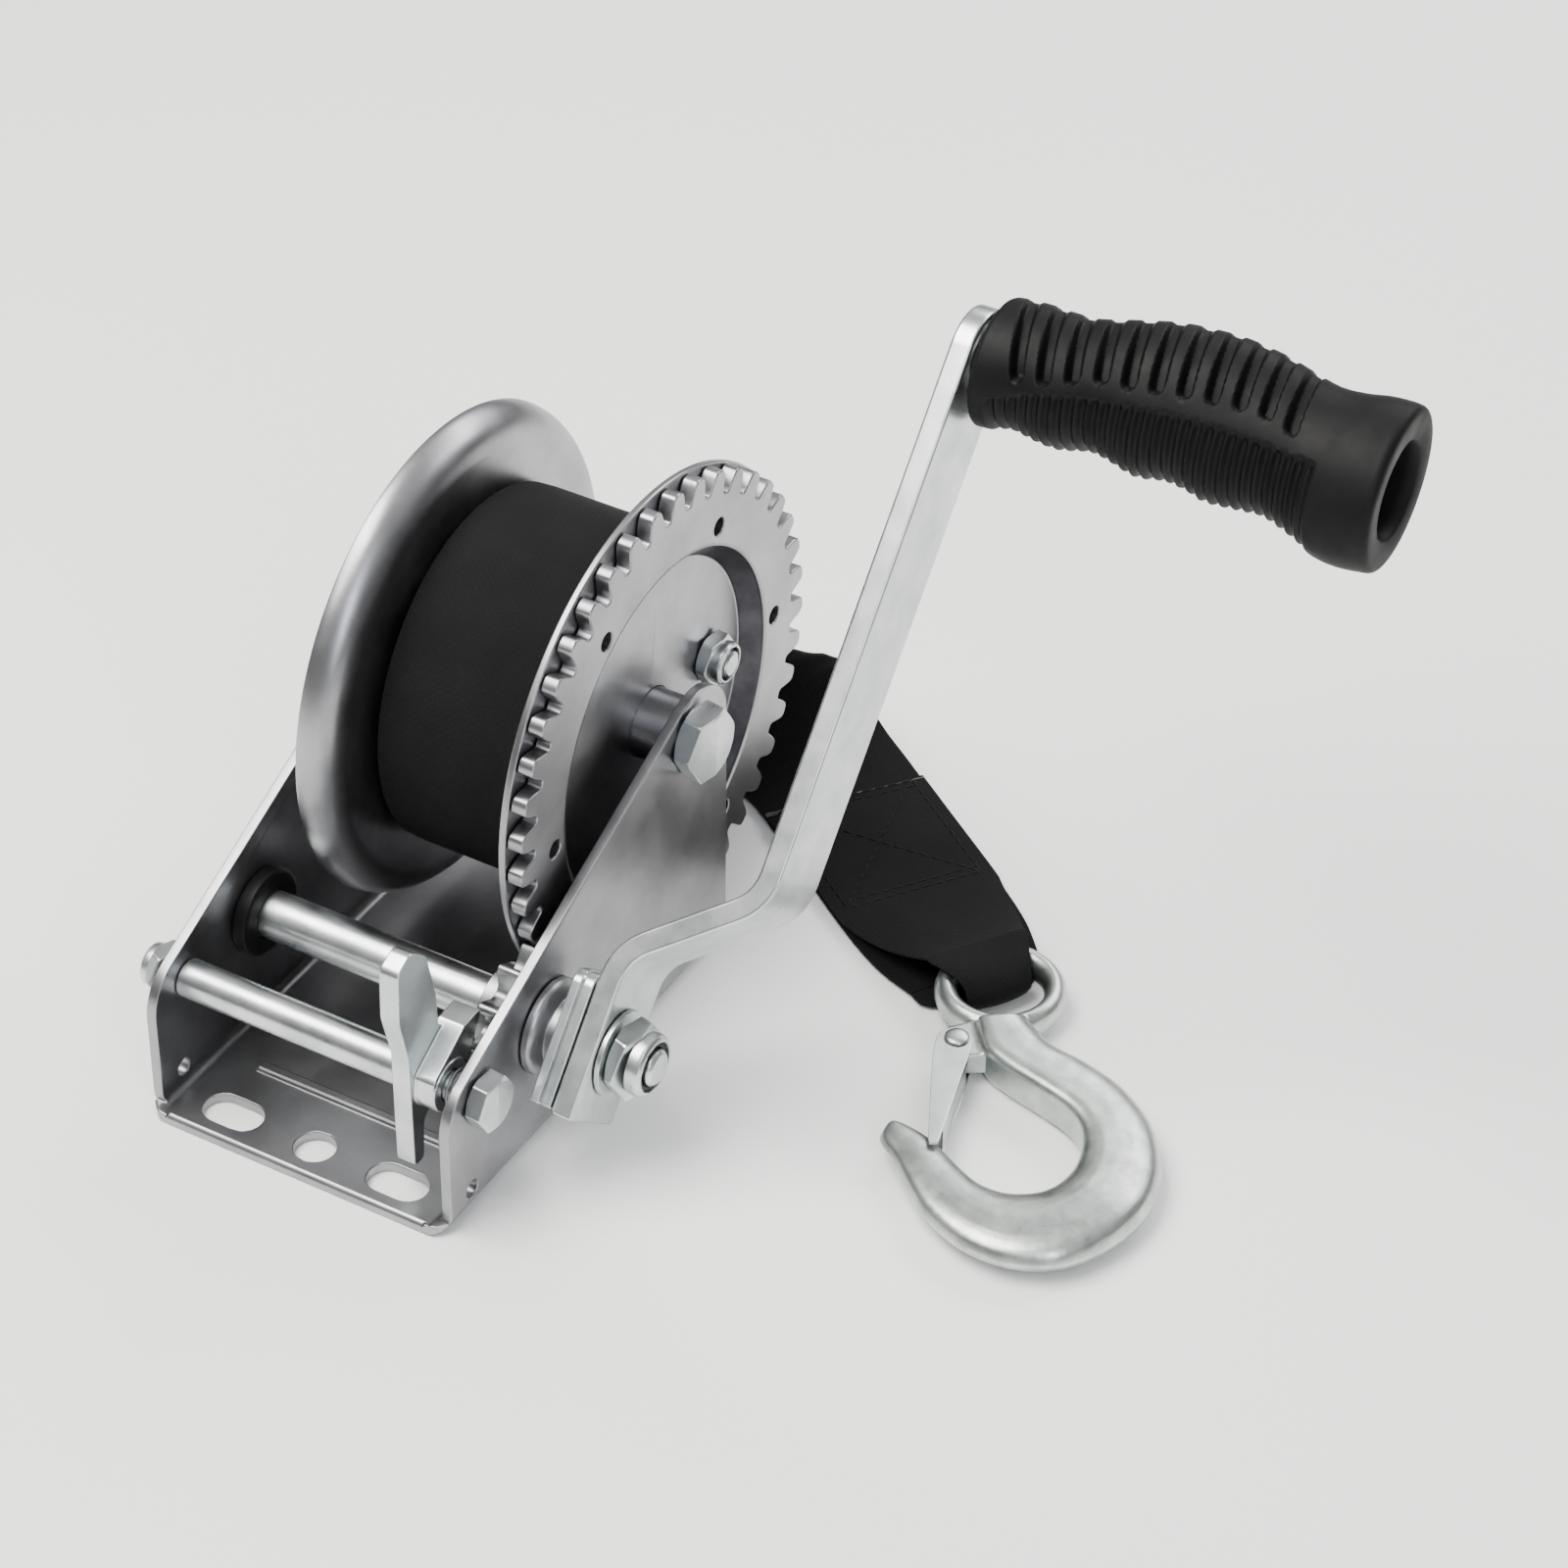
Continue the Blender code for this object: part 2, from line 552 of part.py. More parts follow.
def make_crank(axis):
    """Backing plate, cranked bar, washer and nut; local +Z runs along the bar."""
    thick, width = BAR
    low, high = -0.018, 0.0175
    hole = SHAFT_RADIUS + GAP
    flats = SHAFT_FLATS + 2 * GAP
    plate = rounded([(-0.013, low, 0.001), (0.013, low, 0.001),
                     (0.013, high, 0.004), (-0.013, high, 0.004)], steps=3)
    back = add("crank_backing_plate", prism(plate, 0.0537, CRANK_INNER - GAP), "bright_zinc", axis)

    half = thick / 2
    rings = []
    for x, z, a in bar_path(low - 0.001, high, CRANK_LENGTH):
        across = Vector((math.cos(a), 0.0, -math.sin(a))) * half
        middle = Vector((x, 0.0, z))
        rings.append([middle + across * s + Vector((0.0, w * width / 2, 0.0))
                      for s, w in ((-1, -1), (1, -1), (1, 1), (-1, 1))])
    arm = add("crank_arm", skin(rings), "bright_zinc", axis)
    outer = CRANK_INNER + CRANK_OFFSET
    end = prism([(width / 2 * math.cos(t), CRANK_LENGTH + width / 2 * math.sin(t))
                 for t in (math.pi * 2 * i / 32 for i in range(32))], outer, outer + thick)
    boolean(arm, guide("arm_end", end, axis), "UNION")

    drive = guide("drive_hole", skin([double_d(x, hole, flats) for x in (0.05, 0.07)]), axis)
    boolean(back, drive, "DIFFERENCE")
    boolean(arm, drive, "DIFFERENCE")
    boolean(arm, guide("grip_hole", rod(outer - 0.01, outer + 0.02, GRIP_BOLT + GAP,
                                        (0.0, CRANK_LENGTH)), axis), "DIFFERENCE")

    face = CRANK_INNER + thick
    bore = 0.0049 + GAP
    add("crank_washer", turned([
        (face + GAP, bore), (face + GAP, 0.0115), (face + 0.0017, 0.0115), (face + 0.0017, bore)]),
        "bright_zinc", axis)
    add("crank_nut", skin(nut_rings(face + 0.002, 0.0772, AXLE_FLATS, bore), closed=True),
        "bright_zinc", axis)


# ---- grip --------------------------------------------------------------------------
# distance from the arm, height above the axis (towards the arm's end), depth below it
GRIP_PROFILE = [
    (0.0, 16.6, 16.4), (5.0, 17.2, 16.0), (10.0, 17.4, 15.0), (16.5, 17.3, 15.9),
    (22.5, 17.6, 16.2), (31.0, 19.8, 14.3), (36.5, 21.3, 15.0), (44.0, 22.9, 16.6),
    (51.5, 23.6, 15.4), (57.5, 23.9, 16.0), (63.0, 23.6, 17.2), (71.0, 22.6, 16.6),
    (78.0, 21.0, 16.2), (86.0, 19.4, 18.5), (93.0, 19.8, 21.0), (99.0, 20.9, 21.6),
    (105.0, 21.2, 21.0), (108.0, 20.0, 19.8)]


def make_grip(axis):
    """The grip that spins on its bolt; local X is its axis, local Z the arm's direction."""
    start = CRANK_INNER + CRANK_OFFSET + BAR[0] + 0.0020
    half_width = 0.0150
    rings = []
    for along, up, down in GRIP_PROFILE:
        x = start + along / 108.0 * GRIP_LENGTH
        middle = (up - down) / 2000
        height = (up + down) / 2000
        rings.append([(x, half_width * math.cos(a), middle + height * math.sin(a))
                      for a in (2 * math.pi * i / 20 for i in range(20))])
    grip = add("grip", skin(rings), "black_rubber", axis)
    end = start + GRIP_LENGTH
    mouth_floor = end - 0.022
    bore = rod(start - 0.01, mouth_floor + 0.005, GRIP_BOLT + 0.0005)
    boolean(grip, guide("grip_bore", bore, axis), "DIFFERENCE")
    mouth = [[(x, w * math.cos(a), h * math.sin(a))
              for a in (2 * math.pi * i / SMALL_ROUND for i in range(SMALL_ROUND))]
             for x, w, h in ((mouth_floor, 0.0100, 0.0108), (end + 0.004, 0.0103, 0.0124))]
    boolean(grip, guide("grip_mouth", skin(mouth), axis), "DIFFERENCE")
    return start, mouth_floor


def make_grip_bolt(axis, start, mouth_floor):
    """Bolt through the grip, with its washers; its end is riveted over behind the arm."""
    arm_out = CRANK_INNER + CRANK_OFFSET + BAR[0]
    arm_in = CRANK_INNER + CRANK_OFFSET
    under = mouth_floor + 0.0018
    bolt = add("grip_bolt", skin(bolt_rings(
        under + 0.0062, under, arm_in - GAP - 0.0010, 0.016, GRIP_BOLT)), "bright_zinc", axis)
    rivet = [[(arm_in - GAP - depth, radius * math.cos(a), radius * math.sin(a))
              for a in (2 * math.pi * i / SMALL_ROUND for i in range(SMALL_ROUND))]
             for depth, radius in ((0.0, 0.0072), (0.0010, 0.0070), (0.0020, 0.0045))]
    boolean(bolt, guide("riveted_end", skin(rivet), axis), "UNION")
    bore = GRIP_BOLT + GAP
    add("grip_head_washer", turned([
        (mouth_floor + GAP, bore), (mouth_floor + GAP, 0.0095),
        (under - GAP, 0.0095), (under - GAP, bore)]), "bright_zinc", axis)
    add("grip_arm_washer", turned([
        (arm_out + GAP, bore), (arm_out + GAP, 0.0095),
        (start - GAP, 0.0095), (start - GAP, bore)]), "bright_zinc", axis)


# ---- pawl --------------------------------------------------------------------------
def pawl_outline():
    """Side view of the pawl's plate: thumb lever above the bolt, short tail below."""
    return rounded([
        (-0.0082, -0.0240, 0.0015), (-0.0038, -0.0240, 0.0015), (-0.0030, -0.0105, 0.004),
        (0.0085, -0.0080, 0.006), (0.0095, 0.0040, 0.006), (0.0050, 0.0140, 0.004),
        (0.0045, 0.0240, 0.004), (0.0012, 0.0385, 0.003), (-0.0050, 0.0440, 0.003),
        (-0.0115, 0.0410, 0.003), (-0.0120, 0.0260, 0.006), (-0.0085, 0.0120, 0.006)], steps=3)


def make_pawl(axis):
    """Lever plate, hub and the nose that drops between the pinion's teeth."""
    right = PAWL_LEFT + PAWL_SHEET
    pawl = add("pawl", prism(pawl_outline(), PAWL_LEFT, right), "bright_zinc", axis)
    nose_right = PINION_LEFT + 0.0020
    corners = [(-0.0065, -0.0030, 0.003), (0.0020, -0.0068, 0.003), (0.0140, 0.0060, 0.001),
               (0.0183, 0.0107, 0.001), (0.0100, 0.0117, 0.002), (-0.0060, 0.0060, 0.003)]
    lift = Matrix.Rotation(PAWL_LIFT, 2)
    nose = rounded([(*(lift @ Vector((u, v))), radius) for u, v, radius in corners], steps=2)
    boolean(pawl, guide("pawl_nose", prism(nose, right - 0.002, nose_right), axis), "UNION")
    hub = rod(right - 0.002, nose_right + 0.0004, 0.0072)
    boolean(pawl, guide("pawl_hub", hub, axis), "UNION")
    bore = rod(PAWL_LEFT - 0.01, nose_right + 0.01, PAWL_BOLT + GAP)
    boolean(pawl, guide("pawl_bore", bore, axis), "DIFFERENCE")
    return nose_right + 0.0004


def make_pawl_rod(axis, hub_end):
    """The bolt across the front, the sleeve that sets the pawl's place, and its nut."""
    add("pawl_bolt", skin(bolt_rings(
        RIGHT_FACE + GAP + 0.0055, RIGHT_FACE + GAP, LEFT_FACE - GAP - 0.0085, 0.014, PAWL_BOLT)),
        "bright_zinc", axis)
    bore = PAWL_BOLT + GAP
    add("pawl_bolt_nut", skin(nut_rings(
        LEFT_FACE - GAP, LEFT_FACE - GAP - 0.0078, 0.013, bore), closed=True),
        "bright_zinc", axis)
    start, end, outer = INNER_LEFT + GAP, PAWL_LEFT - GAP, 0.0052
    add("pawl_rod_sleeve", turned([(start, bore), (start, outer), (end, outer), (end, bore)]),
        "bright_zinc", axis)
    wire, turns = 0.0004, 2.5
    coil_start, coil_end = hub_end + 3 * GAP, INNER_RIGHT - 3 * GAP
    steps = int(12 * turns)
    middle = bore + GAP + wire
    loops = []
    for i in range(steps + 1):
        a = 2 * math.pi * i / 12
        x = coil_start + wire + (coil_end - coil_start - 2 * wire) * i / steps
        out = Vector((0.0, math.cos(a), math.sin(a)))
        loops.append([tuple(Vector((x, 0, 0)) + out * (middle + wire * math.cos(t))
                            + Vector((wire * math.sin(t), 0, 0)))
                      for t in (2 * math.pi * k / 6 for k in range(6))])
    add("pawl_spring", skin(loops), "plain_steel", axis)


# ---- strap tail and hook -----------------------------------------------------------
def ribbon(stations, thickness):
    """A flat strip: each station is (middle, across direction, half width)."""
    rings = []
    for i, (middle, across, half) in enumerate(stations):
        before = stations[max(i - 1, 0)][0]
        after = stations[min(i + 1, len(stations) - 1)][0]
        along = (after - before).normalized()
        side = (across - along * across.dot(along)).normalized()
        up = along.cross(side).normalized() * thickness / 2
        edge = side * half
        rings.append([middle - edge - up, middle + edge - up,
                      middle + edge + up, middle - edge + up])
    return skin(rings)


def bowed_ribbon(stations, thickness, forward, radius):
    """A strip whose sections can bow forward, to follow the inside of a ring."""
    rings = []
    for i, (middle, across, half, bow) in enumerate(stations):
        before = stations[max(i - 1, 0)][0]
        after = stations[min(i + 1, len(stations) - 1)][0]
        along = (after - before).normalized()
        side = (across - along * across.dot(along)).normalized()
        up = along.cross(side).normalized() * thickness / 2
        row = []
        for k in (-1.0, -0.5, 0.0, 0.5, 1.0):
            off = half * k
            ahead = forward * bow * (radius - math.sqrt(max(radius ** 2 - off ** 2, 0.0)))
            row.append(middle + side * off + ahead)
        rings.append([point - up for point in row] + [point + up for point in reversed(row)])
    return skin(rings)


def smooth(points, steps):
    """Reads a smooth curve through the points, evenly within each span."""
    curve = []
    last = len(points) - 1
    for i in range(last):
        a, b = points[max(i - 1, 0)], points[i]
        c, d = points[i + 1], points[min(i + 2, last)]
        for k in range(steps):
            t = k / steps
            curve.append(0.5 * ((2 * b) + (c - a) * t + (2 * a - 5 * b + 4 * c - d) * t * t
                                + (3 * b - a - 3 * c + d) * t ** 3))
    curve.append(points[last])
    return curve


# (place of the strap's middle, direction across it, half width) in metres, from where it
# leaves the roll, down behind the drum, round to the right and along the ground
STRAP_ROUTE = [
    ((0.0062, 0.0950, 0.0978), (1.00, 0.00, 0.00), 0.0240),
    ((0.0062, 0.1050, 0.0765), (1.00, 0.02, 0.00), 0.0240),
    ((0.0064, 0.1165, 0.0595), (0.99, 0.08, 0.01), 0.0240),
    ((0.0072, 0.1290, 0.0455), (0.97, 0.20, 0.02), 0.0240),
    ((0.0098, 0.1400, 0.0310), (0.93, 0.37, 0.04), 0.0240),
    ((0.0150, 0.1455, 0.0170), (0.83, 0.55, 0.03), 0.0240),
    ((0.0255, 0.1440, 0.0060), (0.72, 0.69, 0.00), 0.0240),
    ((0.0400, 0.1372, 0.0020), (0.64, 0.77, 0.00), 0.0240),
    ((0.0620, 0.1218, 0.0014), (0.60, 0.80, 0.00), 0.0240),
    ((0.0850, 0.1053, 0.0012), (0.59, 0.81, 0.00), 0.0240),
    ((0.1000, 0.0948, 0.0012), (0.58, 0.815, 0.00), 0.0228),
]
STRAP_WRAP = math.radians(235)  # where the outermost turn starts on the roll
STRAP_HEADING = math.radians(-35)
STRAP_END = 0.0195              # half width where the strap is bunched under the eye
SEWN_LENGTH = 0.080             # webbing folded back from the hook's eye and sewn down
# the turn through the eye, from over its wire to under it: distance past the wire, height,
# half width, and how far the sides stay behind the middle
STRAP_TURN = [
    (0.0035, 0.0118, 0.0144, -0.1), (0.0085, 0.0119, 0.0124, -0.3),
    (0.0130, 0.0106, 0.0104, -0.5), (0.0158, 0.0078, 0.0095, -0.6),
    (0.0160, 0.0050, 0.0095, -0.6), (0.0135, 0.0024, 0.0100, -0.4),
    (0.0090, 0.0014, 0.0150, -0.1), (0.0050, 0.0014, 0.0185, 0.0),
    (0.0006, 0.0014, 0.0192, 0.0),
]


def strap_stations():
    """The outermost turn from the roll's front over its top, then the free route."""
    middle = ROLL_RADIUS - STRAP_THICKNESS / 2
    centre_x = STRAP_LEFT + STRAP_WIDTH / 2
    leave = math.atan2(STRAP_ROUTE[0][0][2] - DRUM_AXIS[1], STRAP_ROUTE[0][0][1] - DRUM_AXIS[0])
    stations = []
    steps = 26
    for i in range(steps):
        a = STRAP_WRAP + (leave - STRAP_WRAP) * i / steps
        place = Vector((centre_x, DRUM_AXIS[0] + middle * math.cos(a),
                        DRUM_AXIS[1] + middle * math.sin(a)))
        stations.append((place, Vector((1, 0, 0)), STRAP_WIDTH / 2 - GAP))
    heading = Vector((math.cos(STRAP_HEADING), math.sin(STRAP_HEADING), 0.0))
    across = Vector((-heading.y, heading.x, 0.0))
    wire = Vector((*HOOK_EYE, 0.0)) - heading * EYE_RADIUS
    wire.z = HOOK_THICKNESS / 2 - EYE_HEIGHT / 2 - GAP - STRAP_THICKNESS / 2
    points = [Vector(place) for place, _, _ in STRAP_ROUTE] + [wire]
    sides = [Vector(side) for _, side, _ in STRAP_ROUTE] + [across]
    halves = [Vector((half, 0, 0)) for _, _, half in STRAP_ROUTE] + [Vector((STRAP_END, 0, 0))]
    curve, turning, width = smooth(points, 4), smooth(sides, 4), smooth(halves, 4)
    stations += [(p, s, w.x - GAP) for p, s, w in zip(curve, turning, width)]
    return stations, wire, heading, across


def make_strap():
    """The strap's free part, and its end, sewn back on top after a turn round the eye."""
    stations, wire, heading, across = strap_stations()
    add("strap_tail", ribbon(stations, STRAP_THICKNESS), "black_webbing")

    layer = STRAP_THICKNESS + GAP
    above = HOOK_THICKNESS / 2 + EYE_HEIGHT / 2 + GAP + STRAP_THICKNESS / 2
    climb = above - wire.z - layer
    end = []
    distance = 0.0
    last = wire
    for place, side, half in reversed(stations):
        distance += (place - last).length
        last = place
        if distance > SEWN_LENGTH:
            break
        near = max(0.0, 1 - distance / 0.032)
        rise = layer + climb * near ** 1.7
        end.append((place + Vector((0, 0, rise)), side, half * (1 - 0.24 * near), 0.0))
    end.reverse()
    for forward, height, half, bow in STRAP_TURN:
        place = wire + heading * forward
        place.z = height
        end.append((place, across, half, bow))
    add("strap_end_loop", bowed_ribbon(end, STRAP_THICKNESS, heading, 0.014), "black_webbing")


def hook_ring(section):
    """One oval section of the hook: middle (a, b), heading, half width, half height."""
    a, b, heading, wide, tall = section
    side = Vector((-math.sin(heading), math.cos(heading), 0.0))
    corners = ((-1.0, -0.45), (-0.62, -1.0), (0.62, -1.0), (1.0, -0.45),
               (1.0, 0.45), (0.62, 1.0), (-0.62, 1.0), (-1.0, 0.45))
    return [Vector((a, b, 0.0)) + side * wide * u + Vector((0, 0, tall * v)) for u, v in corners]


# inner and outer edge of the hook, from its neck round the bowl to the tip, in
# millimetres from the eye's middle: a towards the bowl, b towards the hook's back
HOOK_EDGES = [
    ((15.0, -9.0), (15.0, 5.0)), ((26.3, -8.6), (25.7, 10.2)), ((34.0, -4.2), (33.5, 18.0)),
    ((42.0, 2.4), (43.0, 25.0)), ((50.0, 8.5), (53.4, 29.0)), ((57.0, 10.9), (62.4, 30.2)),
    ((64.0, 10.2), (73.5, 28.9)), ((70.0, 7.6), (84.5, 24.3)), ((74.3, 4.0), (93.5, 16.4)),
    ((77.2, -0.5), (100.2, 5.4)), ((78.0, -5.3), (102.2, -4.5)), ((76.9, -11.4), (99.6, -15.6)),
    ((73.0, -16.8), (92.0, -25.4)), ((67.0, -20.5), (80.5, -32.3)), ((60.5, -23.7), (69.0, -35.2)),
    ((55.0, -26.8), (60.0, -37.0)), ((50.6, -30.6), (52.8, -39.0)), ((48.2, -34.0), (48.8, -37.0))]


def make_hook(frame):
    """Forged eye hook, lying flat; local X runs from the eye towards the bowl."""
    rings = []
    count = len(HOOK_EDGES)
    for i, (inner, outer) in enumerate(HOOK_EDGES):
        inner, outer = Vector(inner) / 1000, Vector(outer) / 1000
        middle = (inner + outer) / 2
        span = outer - inner
        heading = math.atan2(span.y, span.x) - math.pi / 2
        slim = min(1.0, 0.40 + 0.60 * (count - 1 - i) / 9)
        rings.append(hook_ring((middle.x, middle.y, heading, span.length / 2,
                                HOOK_THICKNESS / 2 * slim)))
    hook = add("hook", skin(rings), "bright_zinc", frame)
    eye = []
    for i in range(32):
        a = 2 * math.pi * i / 32
        out = Vector((math.cos(a), math.sin(a), 0.0))
        eye.append([out * (EYE_RADIUS + EYE_WIRE * math.cos(t))
                    + Vector((0, 0, EYE_HEIGHT / 2 * math.sin(t)))
                    for t in (2 * math.pi * k / 10 for k in range(10))])
    boolean(hook, guide("eye", skin(eye, closed=True), frame), "UNION")
    lug = rounded([(0.0140, -0.0100, 0), (0.0165, -0.0190, 0.004), (0.0262, -0.0190, 0.004),
                   (0.0275, -0.0100, 0)], steps=4)
    boolean(hook, guide("lug", prism(lug, -LUG_HEIGHT / 2, LUG_HEIGHT / 2, "Z"), frame), "UNION")
    pin = [[(RIVET_PLACE[0] + 0.0018 * math.cos(a), RIVET_PLACE[1] + 0.0018 * math.sin(a), z)
            for a in (2 * math.pi * i / 16 for i in range(16))] for z in (-0.01, 0.01)]
    boolean(hook, guide("pin_hole", skin(pin), frame), "DIFFERENCE")


def make_latch(axis):
    """Folded latch that closes the hook's mouth, its rivet and spring."""
    top = LATCH_OUTSIDE / 2
    sheet = LATCH_SHEET
    tip = Vector((0.0385, -0.0118))
    along = tip.normalized()
    side = Vector((-along.y, along.x))
    outline = []
    for u, v in ((-0.0035, 0.0018), (-0.0035, -0.0018), (-0.0015, -0.0037), (0.006, -0.0040),
                 (1.0, -0.0011), (1.0, 0.0011), (0.006, 0.0040), (-0.0015, 0.0037)):
        distance = tip.length if u == 1.0 else u
        outline.append(tuple(along * distance + side * v))
    latch = add("hook_latch", prism(outline, top - sheet, top, "Z"), "bright_zinc", axis)
    lower = prism(outline, -top, -top + sheet, "Z")
    boolean(latch, guide("latch_lower", lower, axis), "UNION")
    wall_start, wall_end = 0.0105, 0.032
    wall = [tuple(along * u + side * v) for u, v in (
        (wall_start, -0.0006), (wall_end, -0.0006), (wall_end, 0.0006), (wall_start, 0.0006))]
    boolean(latch, guide("latch_wall", prism(wall, -top + sheet / 2, top - sheet / 2, "Z"), axis),
            "UNION")
    hole = [[((0.0015 + GAP) * math.cos(a), (0.0015 + GAP) * math.sin(a), z)
             for a in (2 * math.pi * i / 16 for i in range(16))] for z in (-0.01, 0.01)]
    boolean(latch, guide("latch_hole", skin(hole), axis), "DIFFERENCE")


def upright_ring(z, radius, sides=16):
    return [(radius * math.cos(a), radius * math.sin(a), z)
            for a in (2 * math.pi * i / sides for i in range(sides))]


def make_rivet(axis):
    top = LATCH_OUTSIDE / 2 + GAP
    rings = [upright_ring(-top - 0.0009, 0.0018), upright_ring(-top - 0.0003, 0.0030),
             upright_ring(-top, 0.0032), upright_ring(-top, 0.0015), upright_ring(top, 0.0015),
             upright_ring(top, 0.0032), upright_ring(top + 0.0003, 0.0030),
             upright_ring(top + 0.0009, 0.0018)]
    add("latch_rivet", skin(rings), "bright_zinc", axis)
    lug_top, sheet_under, wire = LUG_HEIGHT / 2, LATCH_OUTSIDE / 2 - LATCH_SHEET, 0.00025
    coil = []
    for i in range(11):
        a = 2 * math.pi * i / 12
        out = Vector((math.cos(a), math.sin(a), 0.0))
        z = lug_top + GAP / 2 + wire + (sheet_under - lug_top - GAP - 2 * wire) * i / 10
        coil.append([out * (0.0024 + wire * math.cos(t)) + Vector((0, 0, z + wire * math.sin(t)))
                     for t in (2 * math.pi * k / 5 for k in range(5))])
    add("latch_spring", skin(coil), "plain_steel", axis)


# ---- assembly ----------------------------------------------------------------------
clear_scene()
make_frame()

drum_axis = axis_empty("drum_axis", (0.0, *DRUM_AXIS))
make_drum(drum_axis)
make_axle(drum_axis)

crank_axis = axis_empty("crank_axis", (0.0, *CRANK_AXIS), turn=(-CRANK_LEAN, 0.0, 0.0))
bush_radius, shaft_bore = make_pinion(crank_axis)
make_bushings(crank_axis, bush_radius, shaft_bore)
make_crank(crank_axis)
grip_axis = axis_empty("grip_axis", (0.0, 0.0, CRANK_LENGTH), crank_axis)
grip_start, grip_mouth = make_grip(grip_axis)
make_grip_bolt(grip_axis, grip_start, grip_mouth)

pawl_axis = axis_empty("pawl_axis", (0.0, *PAWL_AXIS))
pawl_end = make_pawl(pawl_axis)
make_pawl_rod(pawl_axis, pawl_end)

make_strap()
hook_frame = axis_empty("hook_frame", (*HOOK_EYE, HOOK_THICKNESS / 2), turn=(0, 0, HOOK_HEADING))
make_hook(hook_frame)
latch_axis = axis_empty("latch_axis", (*RIVET_PLACE, 0.0), hook_frame)
make_latch(latch_axis)
make_rivet(latch_axis)
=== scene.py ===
"""Looks of the boat trailer winch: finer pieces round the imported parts, and their finishes.

Metres, +Z up, in the parts' own frame: X along the drum towards the crank, -Y the open
front.  Sizes in lists of points are in millimetres, and MM turns them to metres.
"""
import math

import bmesh
import bpy
from mathutils import Matrix, Vector


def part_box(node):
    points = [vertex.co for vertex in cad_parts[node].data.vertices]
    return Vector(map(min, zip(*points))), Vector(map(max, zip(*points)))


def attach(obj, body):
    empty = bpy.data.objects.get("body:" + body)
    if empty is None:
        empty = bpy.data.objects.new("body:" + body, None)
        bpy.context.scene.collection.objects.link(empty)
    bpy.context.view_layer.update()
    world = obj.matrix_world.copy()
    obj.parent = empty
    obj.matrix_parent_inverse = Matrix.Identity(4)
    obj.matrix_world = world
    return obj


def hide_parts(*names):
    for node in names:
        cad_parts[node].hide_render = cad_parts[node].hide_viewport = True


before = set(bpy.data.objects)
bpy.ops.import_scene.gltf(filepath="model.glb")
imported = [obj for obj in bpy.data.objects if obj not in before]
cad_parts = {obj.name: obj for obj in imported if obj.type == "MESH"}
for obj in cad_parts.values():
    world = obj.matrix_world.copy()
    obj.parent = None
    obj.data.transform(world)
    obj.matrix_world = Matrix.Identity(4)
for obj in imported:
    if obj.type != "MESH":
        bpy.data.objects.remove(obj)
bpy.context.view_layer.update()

MM = 0.001
FULL = 2 * math.pi


def middle(node_name):
    """Y and Z of a round part's axis, which runs along X."""
    low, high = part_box(node_name)
    return ((low[1] + high[1]) / 2, (low[2] + high[2]) / 2)


DRUM = middle("drum_right_flange")
CRANK = middle("pinion_bushing_left")
PAWL = middle("pawl_rod_sleeve")
ANCHOR = middle("strap_anchor_bolt")
LEAN = math.radians(41)          # the crank leans this far from upright, to the back
GEAR_TEETH = 41
PINION_TEETH = 10
CRANK_LENGTH = 0.192             # from the shaft's axis to the grip's
GEAR_LINE = math.radians(212.3)  # from the drum's axis to the pinion's, from +Y towards +Z
HOOK_EYE = Vector((0.123, 0.079, 0.0065))
HOOK_WAY = Vector((0.6, -0.8, 0.0))    # from the eye to the bowl
HOOK_BACK = Vector((0.8, 0.6, 0.0))    # from the latch's side to the hook's back


# ---- camera ------------------------------------------------------------------------
def place_camera():
    """The camera of the studio shot: to the right of the front, and high."""
    azimuth, elevation, roll = math.radians(29.44), math.radians(38.51), math.radians(0.92)
    back = Vector((math.sin(azimuth) * math.cos(elevation),
                   -math.cos(azimuth) * math.cos(elevation), math.sin(elevation)))
    level = Vector((math.cos(azimuth), math.sin(azimuth), 0.0))
    upright = back.cross(level)
    right = level * math.cos(roll) + upright * math.sin(roll)
    up = upright * math.cos(roll) - level * math.sin(roll)
    aim = Vector((0.0, -0.0431, 0.0)) + level * 0.1094 + upright * 0.0874
    camera = bpy.data.cameras.new("camera")
    camera.sensor_width = 36
    camera.lens = 104
    camera.clip_start = 0.05
    camera.clip_end = 20
    tripod = bpy.data.objects.new("camera", camera)
    turn = Matrix((right, up, back)).transposed().to_4x4()
    tripod.matrix_world = Matrix.Translation(aim + back * 1.158) @ turn
    bpy.context.scene.collection.objects.link(tripod)
    bpy.context.scene.camera = tripod


place_camera()


# ---- finishes ----------------------------------------------------------------------
def linear(code):
    """An sRGB hex colour as linear red, green, blue and alpha."""
    parts = [int(code[i:i + 2], 16) / 255 for i in (1, 3, 5)]
    return (*[c / 12.92 if c <= 0.04045 else ((c + 0.055) / 1.055) ** 2.4 for c in parts], 1.0)


def node(tree, kind, inputs=None, **settings):
    """Adds a node, with its settings, and with its inputs set or linked."""
    made = tree.nodes.new(kind)
    for name, value in settings.items():
        setattr(made, name, value)
    for name, value in (inputs or {}).items():
        if isinstance(value, bpy.types.NodeSocket):
            tree.links.new(value, made.inputs[name])
        else:
            made.inputs[name].default_value = value
    return made


def new_finish(name, **shader_values):
    """A material with its main shader, and that shader's plain values set."""
    made = bpy.data.materials.new(name)
    made.use_nodes = True
    shader = made.node_tree.nodes["Principled BSDF"]
    for key, value in shader_values.items():
        shader.inputs[key.replace("_", " ")].default_value = value
    return made, made.node_tree, shader


